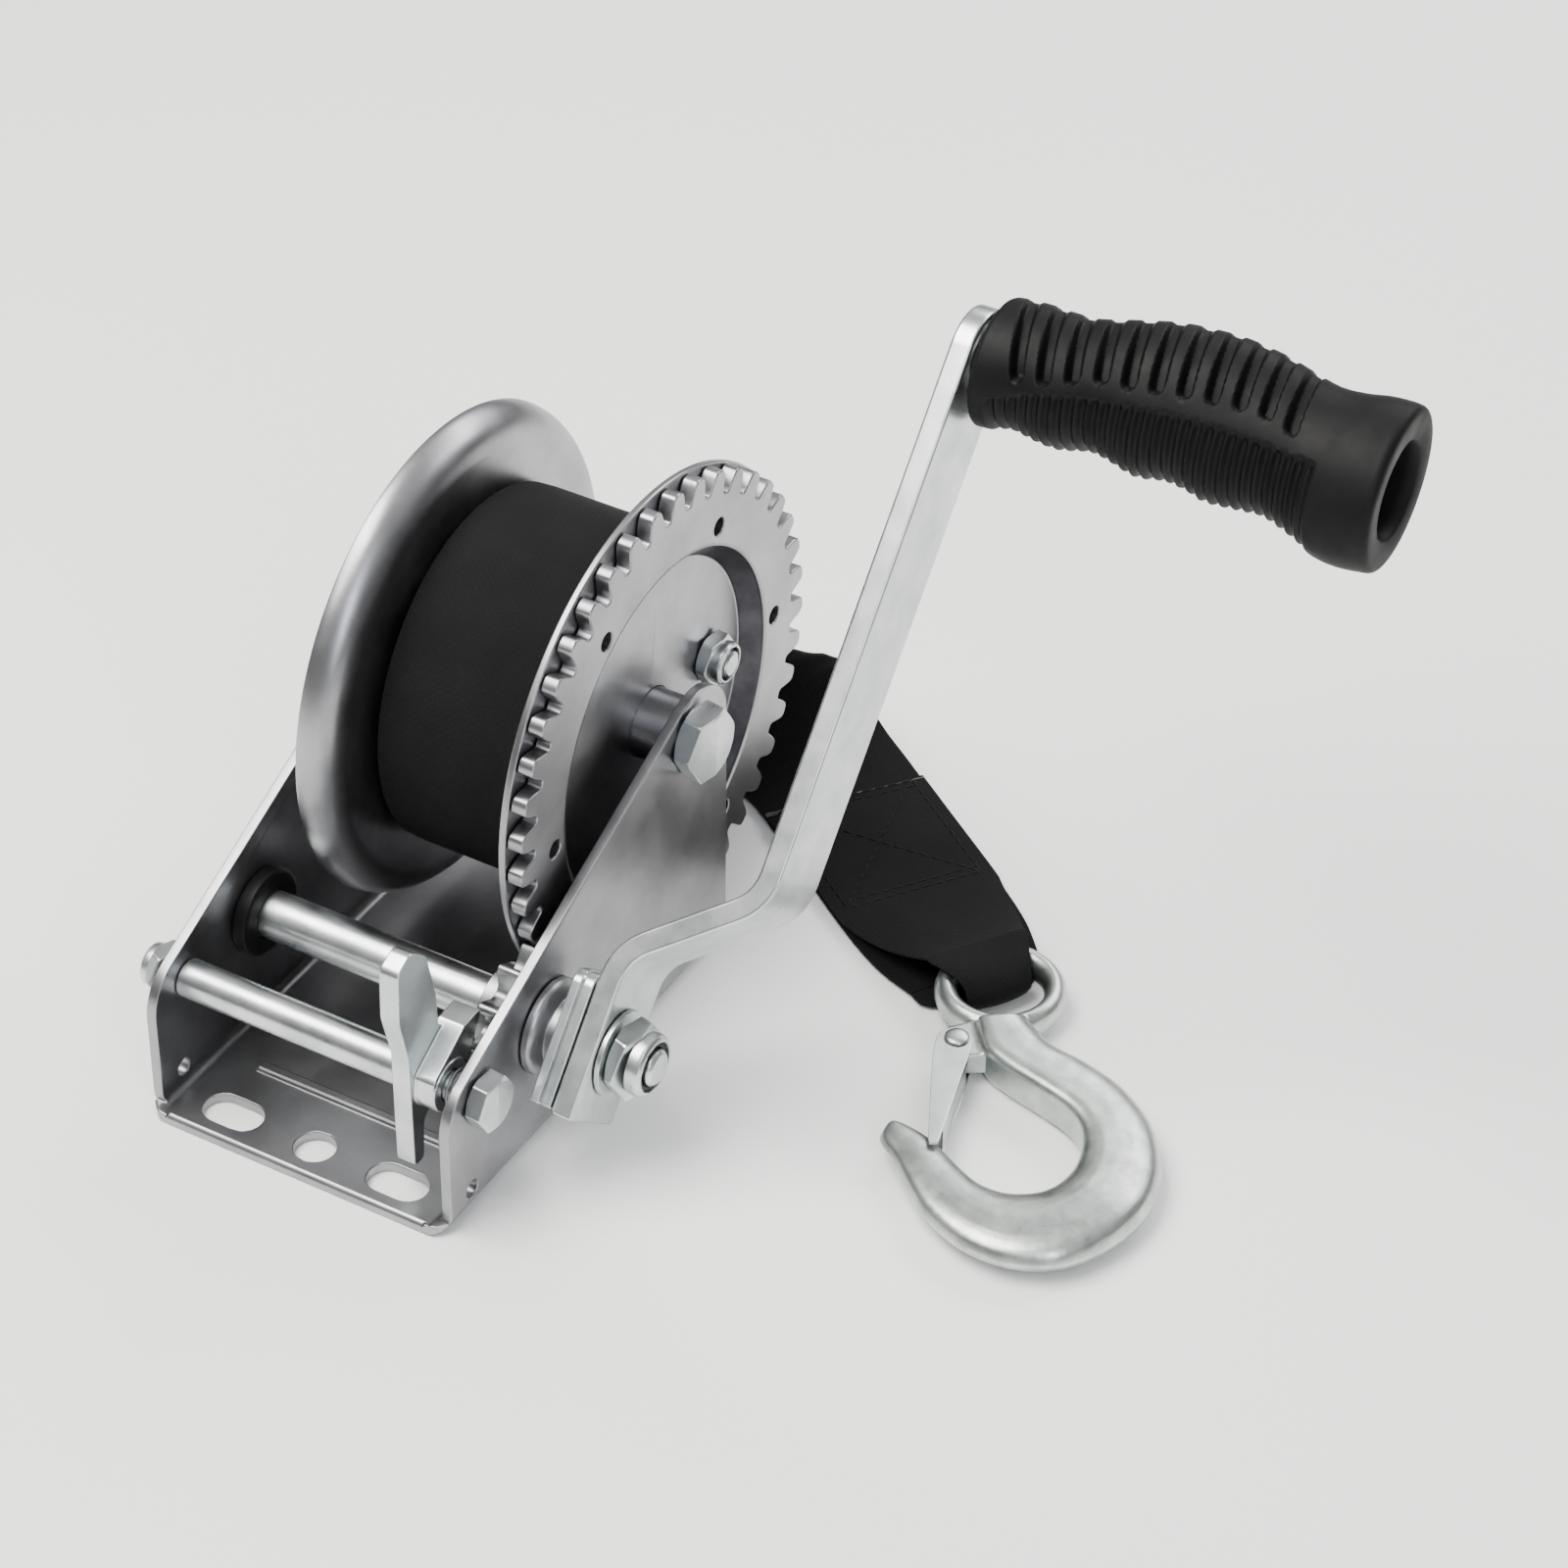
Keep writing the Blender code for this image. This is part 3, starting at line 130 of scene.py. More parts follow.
def blotches(tree, where, size, low, high, detail=3.0):
    """A soft cloudy pattern of the given size in metres, from low to high."""
    noise = node(tree, "ShaderNodeTexNoise",
                 {"Vector": where, "Scale": 1 / size, "Detail": detail, "Roughness": 0.55})
    return node(tree, "ShaderNodeMapRange", {
        "Value": noise.outputs["Fac"], "From Min": 0.3, "From Max": 0.7,
        "To Min": low, "To Max": high}).outputs["Result"]


def zinc_finish(name, dark, light, roughness, cloud, grain, pits=0.0, dents=0.0):
    """Zinc plate: a pale metal with cloudy passivation, fine handling marks and pits."""
    made, tree, shader = new_finish(name, Metallic=1.0)
    where = node(tree, "ShaderNodeTexCoord").outputs["Object"]
    cloudy = blotches(tree, where, cloud, 0.0, 1.0, 4.0)
    tint = node(tree, "ShaderNodeMix", {
        "Factor": cloudy, "A": linear(dark), "B": linear(light)}, data_type="RGBA")
    speck = node(tree, "ShaderNodeTexNoise",
                 {"Vector": where, "Scale": 1 / (1.1 * MM), "Detail": 2.0})
    speck_mask = node(tree, "ShaderNodeMapRange", {
        "Value": speck.outputs["Fac"], "From Min": 0.66, "From Max": 0.74,
        "To Min": 0.0, "To Max": 0.25 + pits})
    stained = node(tree, "ShaderNodeMix", {
        "Factor": speck_mask.outputs["Result"], "A": tint.outputs["Result"],
        "B": linear("#6f7272")}, data_type="RGBA")
    tree.links.new(stained.outputs["Result"], shader.inputs["Base Color"])
    smear = node(tree, "ShaderNodeMapping",
                 {"Vector": where, "Scale": (1.0, 0.12, 0.3), "Rotation": (0.3, 0.2, 0.5)})
    scuffs = node(tree, "ShaderNodeTexNoise", {
        "Vector": smear.outputs["Vector"], "Scale": 1 / (0.7 * MM), "Detail": 3.0})
    rough_cloud = blotches(tree, where, cloud * 0.6, roughness[0], roughness[1])
    rough = node(tree, "ShaderNodeMath", {
        0: scuffs.outputs["Fac"], 1: 0.06, 2: rough_cloud}, operation="MULTIPLY_ADD")
    tree.links.new(rough.outputs["Value"], shader.inputs["Roughness"])
    fine = node(tree, "ShaderNodeBump", {
        "Height": scuffs.outputs["Fac"], "Strength": grain, "Distance": 0.004 * MM})
    dented = blotches(tree, where, 3.5 * MM, 0.0, 1.0, 2.0)
    broad = node(tree, "ShaderNodeBump", {
        "Height": dented, "Strength": dents, "Distance": 0.15 * MM,
        "Normal": fine.outputs["Normal"]})
    tree.links.new(broad.outputs["Normal"], shader.inputs["Normal"])
    return made


def moulded_finish(name, colour, worn, roughness, grain_size, grain):
    """Moulded rubber or nylon: near black, with a fine mould grain and a dusty bloom."""
    made, tree, shader = new_finish(name, Metallic=0.0, IOR=1.45)
    shader.inputs["Specular IOR Level"].default_value = 0.22
    where = node(tree, "ShaderNodeTexCoord").outputs["Object"]
    bloom = blotches(tree, where, 14 * MM, 0.0, 1.0)
    tint = node(tree, "ShaderNodeMix", {
        "Factor": bloom, "A": linear(colour), "B": linear(worn)}, data_type="RGBA")
    tree.links.new(tint.outputs["Result"], shader.inputs["Base Color"])
    rough = blotches(tree, where, 9 * MM, roughness[0], roughness[1])
    tree.links.new(rough, shader.inputs["Roughness"])
    leather = node(tree, "ShaderNodeTexNoise", {
        "Vector": where, "Scale": 1 / grain_size, "Detail": 4.0, "Roughness": 0.6})
    bump = node(tree, "ShaderNodeBump", {
        "Height": leather.outputs["Fac"], "Strength": grain, "Distance": 0.06 * MM})
    tree.links.new(bump.outputs["Normal"], shader.inputs["Normal"])
    return made


def webbing_finish():
    """Woven polyester webbing: 1.1 mm warp ribs crossed by weft, in the piece's own UV."""
    made, tree, shader = new_finish("woven_polyester_webbing", Metallic=0.0, IOR=1.5)
    shader.inputs["Specular IOR Level"].default_value = 0.2
    where = node(tree, "ShaderNodeUVMap", uv_map="webbing").outputs["UV"]
    split = node(tree, "ShaderNodeSeparateXYZ", {"Vector": where})
    rib = math.pi / 1.1                 # the UV is in millimetres
    weft = math.pi / 0.9
    across = node(tree, "ShaderNodeMath", {0: split.outputs["X"], 1: rib}, operation="MULTIPLY")
    along = node(tree, "ShaderNodeMath", {0: split.outputs["Y"], 1: weft}, operation="MULTIPLY")
    warp_wave = node(tree, "ShaderNodeMath", {0: across.outputs[0]}, operation="SINE")
    weft_wave = node(tree, "ShaderNodeMath", {0: along.outputs[0]}, operation="SINE")
    crossing = node(tree, "ShaderNodeMath", {
        0: warp_wave.outputs[0], 1: weft_wave.outputs[0]}, operation="MULTIPLY")
    lift = node(tree, "ShaderNodeMapRange", {
        "Value": crossing.outputs[0], "From Min": -1.0, "From Max": 1.0})
    gap = node(tree, "ShaderNodeMath", {0: warp_wave.outputs[0]}, operation="ABSOLUTE")
    height = node(tree, "ShaderNodeMath", {
        0: gap.outputs[0], 1: 0.6, 2: lift.outputs["Result"]}, operation="MULTIPLY_ADD")
    place = node(tree, "ShaderNodeTexCoord").outputs["Object"]
    fuzz = node(tree, "ShaderNodeTexNoise", {
        "Vector": place, "Scale": 1 / (0.4 * MM), "Detail": 2.0})
    rough_height = node(tree, "ShaderNodeMath", {
        0: fuzz.outputs["Fac"], 1: 0.5, 2: height.outputs[0]}, operation="MULTIPLY_ADD")
    bump = node(tree, "ShaderNodeBump", {
        "Height": rough_height.outputs[0], "Strength": 0.5, "Distance": 0.12 * MM})
    tree.links.new(bump.outputs["Normal"], shader.inputs["Normal"])
    worn = blotches(tree, place, 18 * MM, 0.0, 0.5)
    # the colour is darker in the gaps between the yarns, which is painted shade, with blotchy wear
    # added on top
    gap_shade_and_wear = node(tree, "ShaderNodeMath", {
        0: height.outputs[0], 1: 0.35, 2: worn}, operation="MULTIPLY_ADD")
    tint = node(tree, "ShaderNodeMix", {
        "Factor": gap_shade_and_wear.outputs[0], "A": linear("#030304"), "B": linear("#100f12")},
        data_type="RGBA")
    tree.links.new(tint.outputs["Result"], shader.inputs["Base Color"])
    shader.inputs["Roughness"].default_value = 0.85
    return made


# electro-galvanised sheet: satin grey, cloudy, faint rolling marks
GALVANISED = zinc_finish("galvanised_sheet_steel", "#8b8b8e", "#a5a5a8", (0.27, 0.36),
                         24 * MM, 0.2)
# bright zinc plate on bar and fasteners: paler and glossier, with a bluish cloud
BRIGHT = zinc_finish("bright_zinc_plate", "#b6bcbd", "#d4d8d7", (0.24, 0.32), 12 * MM, 0.15)
# zinc plate over a drop forging: mottled, dented, with small stains
FORGED = zinc_finish("zinc_plated_forging", "#a9b0ad", "#ccd1cc", (0.28, 0.37), 7 * MM,
                     0.2, pits=0.15, dents=0.12)
# machined and hardened steel: darker, with turning marks
MACHINED = zinc_finish("machined_steel", "#7f8183", "#a3a5a6", (0.28, 0.37), 7 * MM, 0.3)
# the steep inner wall of the gear's dish: dark grey as painted shade in the recess, and rougher
DISH_WALL_SHADE = zinc_finish("dish_wall_painted_shade", "#3c3b3f", "#55545a", (0.32, 0.42), 9 * MM, 0.2)
# injection-moulded nylon: smooth and slightly glossy
NYLON = moulded_finish("moulded_nylon", "#0b0b0c", "#161617", (0.35, 0.5), 1.2 * MM, 0.15)
# soft moulded rubber: matt with a dusty bloom and a fine spark grain
RUBBER = moulded_finish("moulded_rubber", "#020203", "#070709", (0.52, 0.64), 0.8 * MM, 0.25)
WEBBING = webbing_finish()
# bonded sewing thread, heavier than the webbing's yarn
THREAD = moulded_finish("bonded_thread", "#0b0a0c", "#18171a", (0.55, 0.7), 0.5 * MM, 0.5)
# hot-cut end of the webbing: fused fibre, paler than the weave
FUSED = moulded_finish("heat_cut_webbing", "#4c4844", "#78726a", (0.5, 0.7), 0.6 * MM, 0.6)


# ---- making pieces -----------------------------------------------------------------
def deselect():
    """Leaves edit mode and selects nothing."""
    if bpy.context.mode != "OBJECT":
        bpy.ops.object.mode_set(mode="OBJECT")
    bpy.ops.object.select_all(action="DESELECT")


def take(piece):
    """Makes one piece the only selected and active one."""
    deselect()
    piece.hide_set(False)
    piece.select_set(True)
    bpy.context.view_layer.objects.active = piece


def placed(name, mesh):
    """A new object in the scene for a mesh."""
    piece = bpy.data.objects.new(name, mesh)
    bpy.context.scene.collection.objects.link(piece)
    take(piece)
    return piece


def drawn(name, points, fill):
    """A line or a face, drawn by extruding one point after another."""
    points = [Vector(point) for point in points]
    deselect()
    bpy.ops.mesh.primitive_plane_add(size=MM, location=points[0])
    piece = bpy.context.object
    piece.name = piece.data.name = name
    bpy.ops.object.mode_set(mode="EDIT")
    bpy.ops.mesh.select_all(action="SELECT")
    bpy.ops.mesh.merge(type="CENTER")
    for before, after in zip(points, points[1:]):
        bpy.ops.mesh.extrude_region_move(TRANSFORM_OT_translate={"value": after - before})
    bpy.ops.mesh.select_all(action="DESELECT")
    mesh = bmesh.from_edit_mesh(piece.data)
    mesh.verts.ensure_lookup_table()
    chosen = mesh.verts if fill else (mesh.verts[0], mesh.verts[-1])
    for vert in chosen:
        vert.select_set(True)
    mesh.select_flush(True)
    bmesh.update_edit_mesh(piece.data)
    bpy.ops.mesh.edge_face_add()
    bpy.ops.mesh.select_all(action="SELECT")
    return piece


def settled(piece):
    """Leaves edit mode and puts the place of a piece into its mesh."""
    take(piece)
    bpy.ops.object.transform_apply(location=True, rotation=True, scale=True)
    return piece


def turned(name, profile, centre, steps=96, along="X"):
    """Spins a closed profile of (along, radius) millimetres round an axis."""
    if along == "X":
        origin = Vector((0.0, *centre))
        points = [origin + Vector((x * MM, 0.0, r * MM)) for x, r in profile]
        axis = (1.0, 0.0, 0.0)
    else:
        origin = Vector(centre)
        points = [origin + Vector((r * MM, 0.0, z * MM)) for z, r in profile]
        axis = (0.0, 0.0, 1.0)
    piece = drawn(name, points, fill=False)
    bpy.ops.mesh.spin(steps=steps, angle=FULL, center=origin, axis=axis)
    bpy.ops.mesh.select_all(action="SELECT")
    bpy.ops.mesh.remove_doubles(threshold=0.002 * MM)
    bpy.ops.mesh.normals_make_consistent(inside=False)
    return settled(piece)


def pressed(name, outline, thickness):
    """Extrudes a closed outline of points by a vector."""
    piece = drawn(name, outline, fill=True)
    bpy.ops.mesh.extrude_region_move(TRANSFORM_OT_translate={"value": Vector(thickness)})
    bpy.ops.mesh.select_all(action="SELECT")
    bpy.ops.mesh.normals_make_consistent(inside=False)
    return settled(piece)


def applied(piece, kind, **settings):
    """Adds a modifier with its settings, and applies it."""
    take(piece)
    step = piece.modifiers.new(kind.lower(), kind)
    for name, value in settings.items():
        setattr(step, name, value)
    bpy.ops.object.modifier_apply(modifier=step.name)
    return piece


def smoothed(piece, angle):
    """Shades a piece smooth, apart from edges sharper than the angle in degrees."""
    take(piece)
    bpy.ops.object.shade_smooth_by_angle(angle=math.radians(angle))
    return piece


def combined(piece, other, operation):
    """Joins or cuts with another piece, which is used up."""
    applied(piece, "BOOLEAN", operation=operation, solver="EXACT", object=other)
    bpy.data.objects.remove(other)
    return piece


def shaded(piece, angle=35):
    """Smooth shading up to an angle, led by the large faces."""
    return applied(smoothed(piece, angle), "WEIGHTED_NORMAL", weight=100, keep_sharp=True)


def drilled(piece, place, radius, sides=32):
    """Drills a hole of a radius in millimetres along X."""
    deselect()
    bpy.ops.mesh.primitive_cylinder_add(
        vertices=sides, radius=radius * MM, depth=0.12, location=place,
        rotation=(0, math.pi / 2, 0))
    return combined(piece, bpy.context.object, "DIFFERENCE")


def softened(piece, width, segments=2, angle=32):
    """Breaks the sharp edges, and shades the rest smooth with its flats kept flat."""
    return shaded(applied(
        piece, "BEVEL", width=width * MM, segments=segments, limit_method="ANGLE",
        angle_limit=math.radians(angle), use_clamp_overlap=False, harden_normals=False))


def finished(piece, body, finish, slot_name, *stands_for):
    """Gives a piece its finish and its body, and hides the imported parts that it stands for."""
    piece.data.materials.clear()
    piece.data.materials.append(finish)
    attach(piece, body)
    if stands_for:
        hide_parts(*stands_for)
    return piece


def packed_copy(node_name, name):
    """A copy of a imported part, its loose triangles merged into whole faces."""
    piece = placed(name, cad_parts[node_name].data.copy())
    bpy.ops.object.mode_set(mode="EDIT")
    bpy.ops.mesh.select_all(action="SELECT")
    bpy.ops.mesh.remove_doubles(threshold=0.004 * MM)
    bpy.ops.mesh.dissolve_limited(angle_limit=math.radians(0.4))
    bpy.ops.object.mode_set(mode="OBJECT")
    return piece


def broken_edges(node_name, body, finish, slot_name, width, segments=2):
    """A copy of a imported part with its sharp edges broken, as tumbling leaves them."""
    piece = softened(packed_copy(node_name, node_name + "_detail"), width, segments)
    return finished(piece, body, finish, slot_name, node_name)


def closed_up(name, mesh, angle):
    """Turns a closed bmesh into a piece whose faces point outwards, shaded smooth."""
    bmesh.ops.recalc_face_normals(mesh, faces=mesh.faces)
    made = bpy.data.meshes.new(name)
    mesh.to_mesh(made)
    mesh.free()
    return smoothed(placed(name, made), angle)


def loft(name, rings, closed=False):
    """Skins rings of points, each with as many, into one closed surface."""
    mesh = bmesh.new()
    loops = [[mesh.verts.new(point) for point in ring] for ring in rings]
    pairs = list(zip(loops, loops[1:]))
    if closed:
        pairs.append((loops[-1], loops[0]))
    else:
        mesh.faces.new(loops[0])
        mesh.faces.new(loops[-1])
    for first, second in pairs:
        for i in range(len(first)):
            j = (i + 1) % len(first)
            mesh.faces.new((first[i], first[j], second[j], second[i]))
    return closed_up(name, mesh, 50)


def ease(low, high, value):
    """Goes smoothly from 0 at low to 1 at high."""
    t = min(1.0, max(0.0, (value - low) / (high - low)))
    return t * t * (3 - 2 * t)


def smooth(points, steps):
    """Reads a smooth curve through the points, evenly within each span."""
    curve = []
    last = len(points) - 1
    for i in range(last):
        a, b = points[max(i - 1, 0)], points[i]
        c, d = points[i + 1], points[min(i + 2, last)]
        for k in range(steps):
            t = k / steps
            curve.append(0.5 * ((2 * b) + (c - a) * t + (2 * a - 5 * b + 4 * c - d) * t * t
                                + (3 * b - a - 3 * c + d) * t ** 3))
    curve.append(points[last])
    return curve


# ---- strap -------------------------------------------------------------------------
STRAP_ROUTE = [
    ((0.0062, 0.0950, 0.0978), (1.00, 0.00, 0.00), 0.0240),
    ((0.0062, 0.1050, 0.0765), (1.00, 0.02, 0.00), 0.0240),
    ((0.0064, 0.1165, 0.0595), (0.99, 0.08, 0.01), 0.0240),
    ((0.0072, 0.1290, 0.0455), (0.97, 0.20, 0.02), 0.0240),
    ((0.0098, 0.1400, 0.0310), (0.93, 0.37, 0.04), 0.0240),
    ((0.0150, 0.1455, 0.0170), (0.83, 0.55, 0.03), 0.0240),
    ((0.0255, 0.1440, 0.0060), (0.72, 0.69, 0.00), 0.0240),
    ((0.0400, 0.1372, 0.0020), (0.64, 0.77, 0.00), 0.0240),
    ((0.0620, 0.1218, 0.0014), (0.60, 0.80, 0.00), 0.0240),
    ((0.0850, 0.1053, 0.0012), (0.59, 0.81, 0.00), 0.0240),
    ((0.1000, 0.0948, 0.0012), (0.58, 0.815, 0.00), 0.0228),
]
STRAP_WIDTH = 48 * MM
STRAP_MIDDLE = 6.2 * MM          # X of the wound strap's middle
STRAP_END = 19.5 * MM            # half width where the strap is bunched under the eye
# the turn through the eye, from over its wire to under it: distance past the wire, height,
# half width, and how far the sides stay behind the middle
STRAP_TURN = [
    (0.0035, 0.0118, 0.0144, -0.1), (0.0085, 0.0119, 0.0124, -0.3),
    (0.0130, 0.0106, 0.0104, -0.5), (0.0158, 0.0078, 0.0095, -0.6),
    (0.0160, 0.0050, 0.0095, -0.6), (0.0135, 0.0024, 0.0100, -0.4),
    (0.0090, 0.0014, 0.0150, -0.1), (0.0050, 0.0014, 0.0185, 0.0),
    (0.0006, 0.0014, 0.0192, 0.0),
]
STRAP_THICKNESS = 1.2 * MM
ROLL_RADIUS = 49 * MM
STRAP_GAP = 0.3 * MM
EYE_RADIUS = 14.45 * MM
EYE_WIRE = 3.05 * MM
EYE_HEIGHT = 8.4 * MM
SEWN_LENGTH = 80 * MM
ANCHOR_HOLE = 4.3                # radius round the strap's bolt, millimetres
FINE = 10                       # stations to each span of the route


def strap_stations():
    """Middle, direction across and half width of the strap, from the drum to the eye."""
    radius = ROLL_RADIUS - STRAP_THICKNESS / 2
    start = math.radians(235)
    leave = math.atan2(STRAP_ROUTE[0][0][2] - DRUM[1], STRAP_ROUTE[0][0][1] - DRUM[0])
    stations = []
    steps = 80
    for i in range(steps):
        a = start + (leave - start) * i / steps
        place = Vector((STRAP_MIDDLE, DRUM[0] + radius * math.cos(a),
                        DRUM[1] + radius * math.sin(a)))
        stations.append((place, Vector((1, 0, 0)), STRAP_WIDTH / 2 - STRAP_GAP))
    heading = Vector((math.cos(math.radians(-35)), math.sin(math.radians(-35)), 0.0))
    across = Vector((-heading.y, heading.x, 0.0))
    wire = HOOK_EYE - heading * EYE_RADIUS
    wire.z = HOOK_EYE.z - EYE_HEIGHT / 2 - STRAP_GAP - STRAP_THICKNESS / 2
    points = [Vector(place) for place, _, _ in STRAP_ROUTE] + [wire]
    sides = [Vector(side) for _, side, _ in STRAP_ROUTE] + [across]
    halves = [Vector((half, 0, 0)) for _, _, half in STRAP_ROUTE] + [Vector((STRAP_END, 0, 0))]
    curve, turning, width = (smooth(row, FINE) for row in (points, sides, halves))
    stations += [(p, s, w.x - STRAP_GAP) for p, s, w in zip(curve, turning, width)]
    return stations, wire, heading, across


def woven_strip(name, stations, heading, ring_radius):
    """A strip of webbing with rounded selvedges, and a UV map in millimetres.

    Each station is its middle, direction across, half width and how far its section
    bows forward to follow the inside of the eye.
    """
    rows = 12
    rings = []
    lengths = [0.0]
    for i, (place, across, half, bow) in enumerate(stations):
        before = stations[max(i - 1, 0)][0]
        after = stations[min(i + 1, len(stations) - 1)][0]
        if i:
            lengths.append(lengths[-1] + (place - before).length)
        along = (after - before).normalized()
        side = (across - along * across.dot(along)).normalized()
        up = along.cross(side).normalized()
        ring = []
        for top in (-1, 1):
            for k in range(rows + 1):
                u = (2 * k / rows - 1) * -top
                thin = STRAP_THICKNESS / 2 * (1 - 0.45 * ease(0.9, 1.0, abs(u)))
                off = half * u
                bend = ring_radius - math.sqrt(max(ring_radius ** 2 - off ** 2, 0.0))
                ring.append(place + side * off + heading * bow * bend + up * thin * top)
        rings.append(ring)
    piece = loft(name, rings)
    layer = piece.data.uv_layers.new(name="webbing")
    count = len(rings[0])
    for loop in piece.data.loops:
        station, spot = divmod(loop.vertex_index, count)
        top, k = divmod(spot, rows + 1)
        u = (2 * k / rows - 1) * (1 if top == 0 else -1)
        half = stations[station][2]
        layer.data[loop.index].uv = ((u * half + STRAP_WIDTH / 2) / MM, lengths[station] / MM)
    return piece


def make_strap():
    """The strap's free part, its sewn end with its heat-cut edge, and the stitching."""
    stations, wire, heading, across = strap_stations()
    tail = woven_strip("strap_webbing", [(*s, 0.0) for s in stations], heading, EYE_RADIUS)
    finished(tail, "frame", WEBBING, "black_webbing", "strap_tail")

    layer = STRAP_THICKNESS + STRAP_GAP
    above = HOOK_EYE.z + EYE_HEIGHT / 2 + STRAP_GAP + STRAP_THICKNESS / 2
    climb = above - wire.z - layer
    sewn = []
    distance = 0.0
    last = wire
    for place, side, half in reversed(stations):
        distance += (place - last).length
        last = place
        if distance > SEWN_LENGTH:
            break
        near = max(0.0, 1 - distance / 0.032)
        lifted = place + Vector((0, 0, layer + climb * near ** 1.7))
        sewn.append((lifted, side, half * (1 - 0.24 * near), 0.0, distance))
    sewn.reverse()
    end = [station[:4] for station in sewn]
    through = [Vector(row[:3]) for row in STRAP_TURN]
    bowing = [Vector((row[3], 0, 0)) for row in STRAP_TURN]
    for spot, bow in zip(smooth(through, 6), smooth(bowing, 6)):
        place = wire + heading * spot.x
        place.z = max(spot.y, wire.z)
        end.append((place, across, spot.z, bow.x))
    loop = woven_strip("strap_sewn_end", end, heading, 0.014)
    finished(loop, "frame", WEBBING, "black_webbing", "strap_end_loop")

    first, second = sewn[0], sewn[1]
    away = (first[0] - second[0]).normalized()
    lip = []
    for k in range(-20, 21):
        place = first[0] + first[1].normalized() * (first[2] * k / 20) + away * 0.1 * MM
        wobble = 0.12 * MM * math.sin(k * 1.9)
        lip.append([place + Vector((0, 0, -0.45 * MM)), place + away * (0.5 * MM + wobble)
                    + Vector((0, 0, -0.4 * MM)), place + away * (0.55 * MM + wobble)
                    + Vector((0, 0, 0.45 * MM)), place + Vector((0, 0, 0.66 * MM))])
    fused = loft("strap_cut_edge", lip)
    finished(fused, "frame", FUSED, "black_webbing")

    threads = sew_box(sewn)
    return tail, loop, fused, threads, [s[0] for s in stations]


def sew_box(sewn):
    """A box of stitches with a cross inside, on the sewn-back layer of the strap."""
    def on_strap(u, v):
        """A place on the layer: u from -1 to 1 across, v metres from the eye."""
        for near, far in zip(sewn, sewn[1:]):
            if near[4] >= v >= far[4]:
                t = (near[4] - v) / max(near[4] - far[4], 1e-9)
                place = near[0].lerp(far[0], t)
                half = near[2] + (far[2] - near[2]) * t
                return place + near[1].normalized() * half * u
        return sewn[0][0] + sewn[0][1].normalized() * sewn[0][2] * u

    corners = [(-0.84, 0.080), (0.84, 0.080), (0.84, 0.036), (-0.84, 0.036)]
    lines = list(zip(corners, corners[1:] + corners[:1]))
    lines += [(corners[0], corners[2]), (corners[1], corners[3])]
    lines += [((-0.84, 0.0775), (0.84, 0.0775)), ((-0.84, 0.0385), (0.84, 0.0385))]
    rings_of = []
    for start, end in lines:
        length = (on_strap(*start) - on_strap(*end)).length
        count = max(1, round(length / (3.8 * MM)))
        for i in range(count):
            bounds = []
            for share in ((i + 0.1) / count, (i + 0.9) / count):
                u = start[0] + (end[0] - start[0]) * share
                v = start[1] + (end[1] - start[1]) * share
                bounds.append(on_strap(u, v))
            rings_of.append(bounds)
    mesh = bmesh.new()
    for a, b in rings_of:
        way = (b - a).normalized()
        side = Vector((0, 0, 1)).cross(way).normalized()
        loops = []
        for share, girth, rise in ((0, 0.15, 0.42), (0.15, 0.30, 0.60), (0.5, 0.34, 0.70),
                                   (0.85, 0.30, 0.60), (1, 0.15, 0.42)):
            spot = a.lerp(b, share) + Vector((0, 0, rise * MM))
            loops.append([mesh.verts.new(
                spot + side * math.cos(t) * girth * MM + Vector((0, 0, math.sin(t) * girth * MM)))
                for t in (FULL * k / 6 for k in range(6))])
        mesh.faces.new(loops[0])
        mesh.faces.new(loops[-1])
        for one, two in zip(loops, loops[1:]):
            for k in range(6):
                mesh.faces.new((one[k], one[(k + 1) % 6], two[(k + 1) % 6], two[k]))
    return finished(closed_up("strap_stitching", mesh, 70), "frame", THREAD, "black_webbing")


def make_roll():
    """The wound strap: the edges of its turns show as fine steps on both sides."""
    inner, outer, turn = 12.4, 47.4, 1.25
    count = int((outer - inner) / turn)
    right = []
    for i in range(count):
        low = outer - i * turn
        slack = 0.35 * math.sin(i * 2.3) * math.sin(i * 0.7)
        right += [(29.3 + slack, low - 0.05), (29.7 + slack, low - 0.35),
                  (29.7 + slack, low - 0.9), (29.2 + slack, low - 1.2)]
    left = [(-17.3 + (29.7 - x) * 0.8, r) for x, r in reversed(right)]
    roll = turned("strap_roll_webbing", right + left, DRUM, steps=120)
    drilled(roll, (0.0, *ANCHOR), ANCHOR_HOLE)
    layer = roll.data.uv_layers.new(name="webbing")
    for loop in roll.data.loops:
        spot = roll.data.vertices[loop.vertex_index].co
        y, z = spot.y - DRUM[0], spot.z - DRUM[1]
        turned_by = (math.atan2(z, y) + math.radians(125)) % FULL
        layer.data[loop.index].uv = (spot.x / MM + 20, turned_by * 48)
    return finished(smoothed(roll, 35), "drum", WEBBING, "black_webbing", "strap_roll")


strap, strap_loop, strap_edge, strap_threads, strap_path = make_strap()
make_roll()


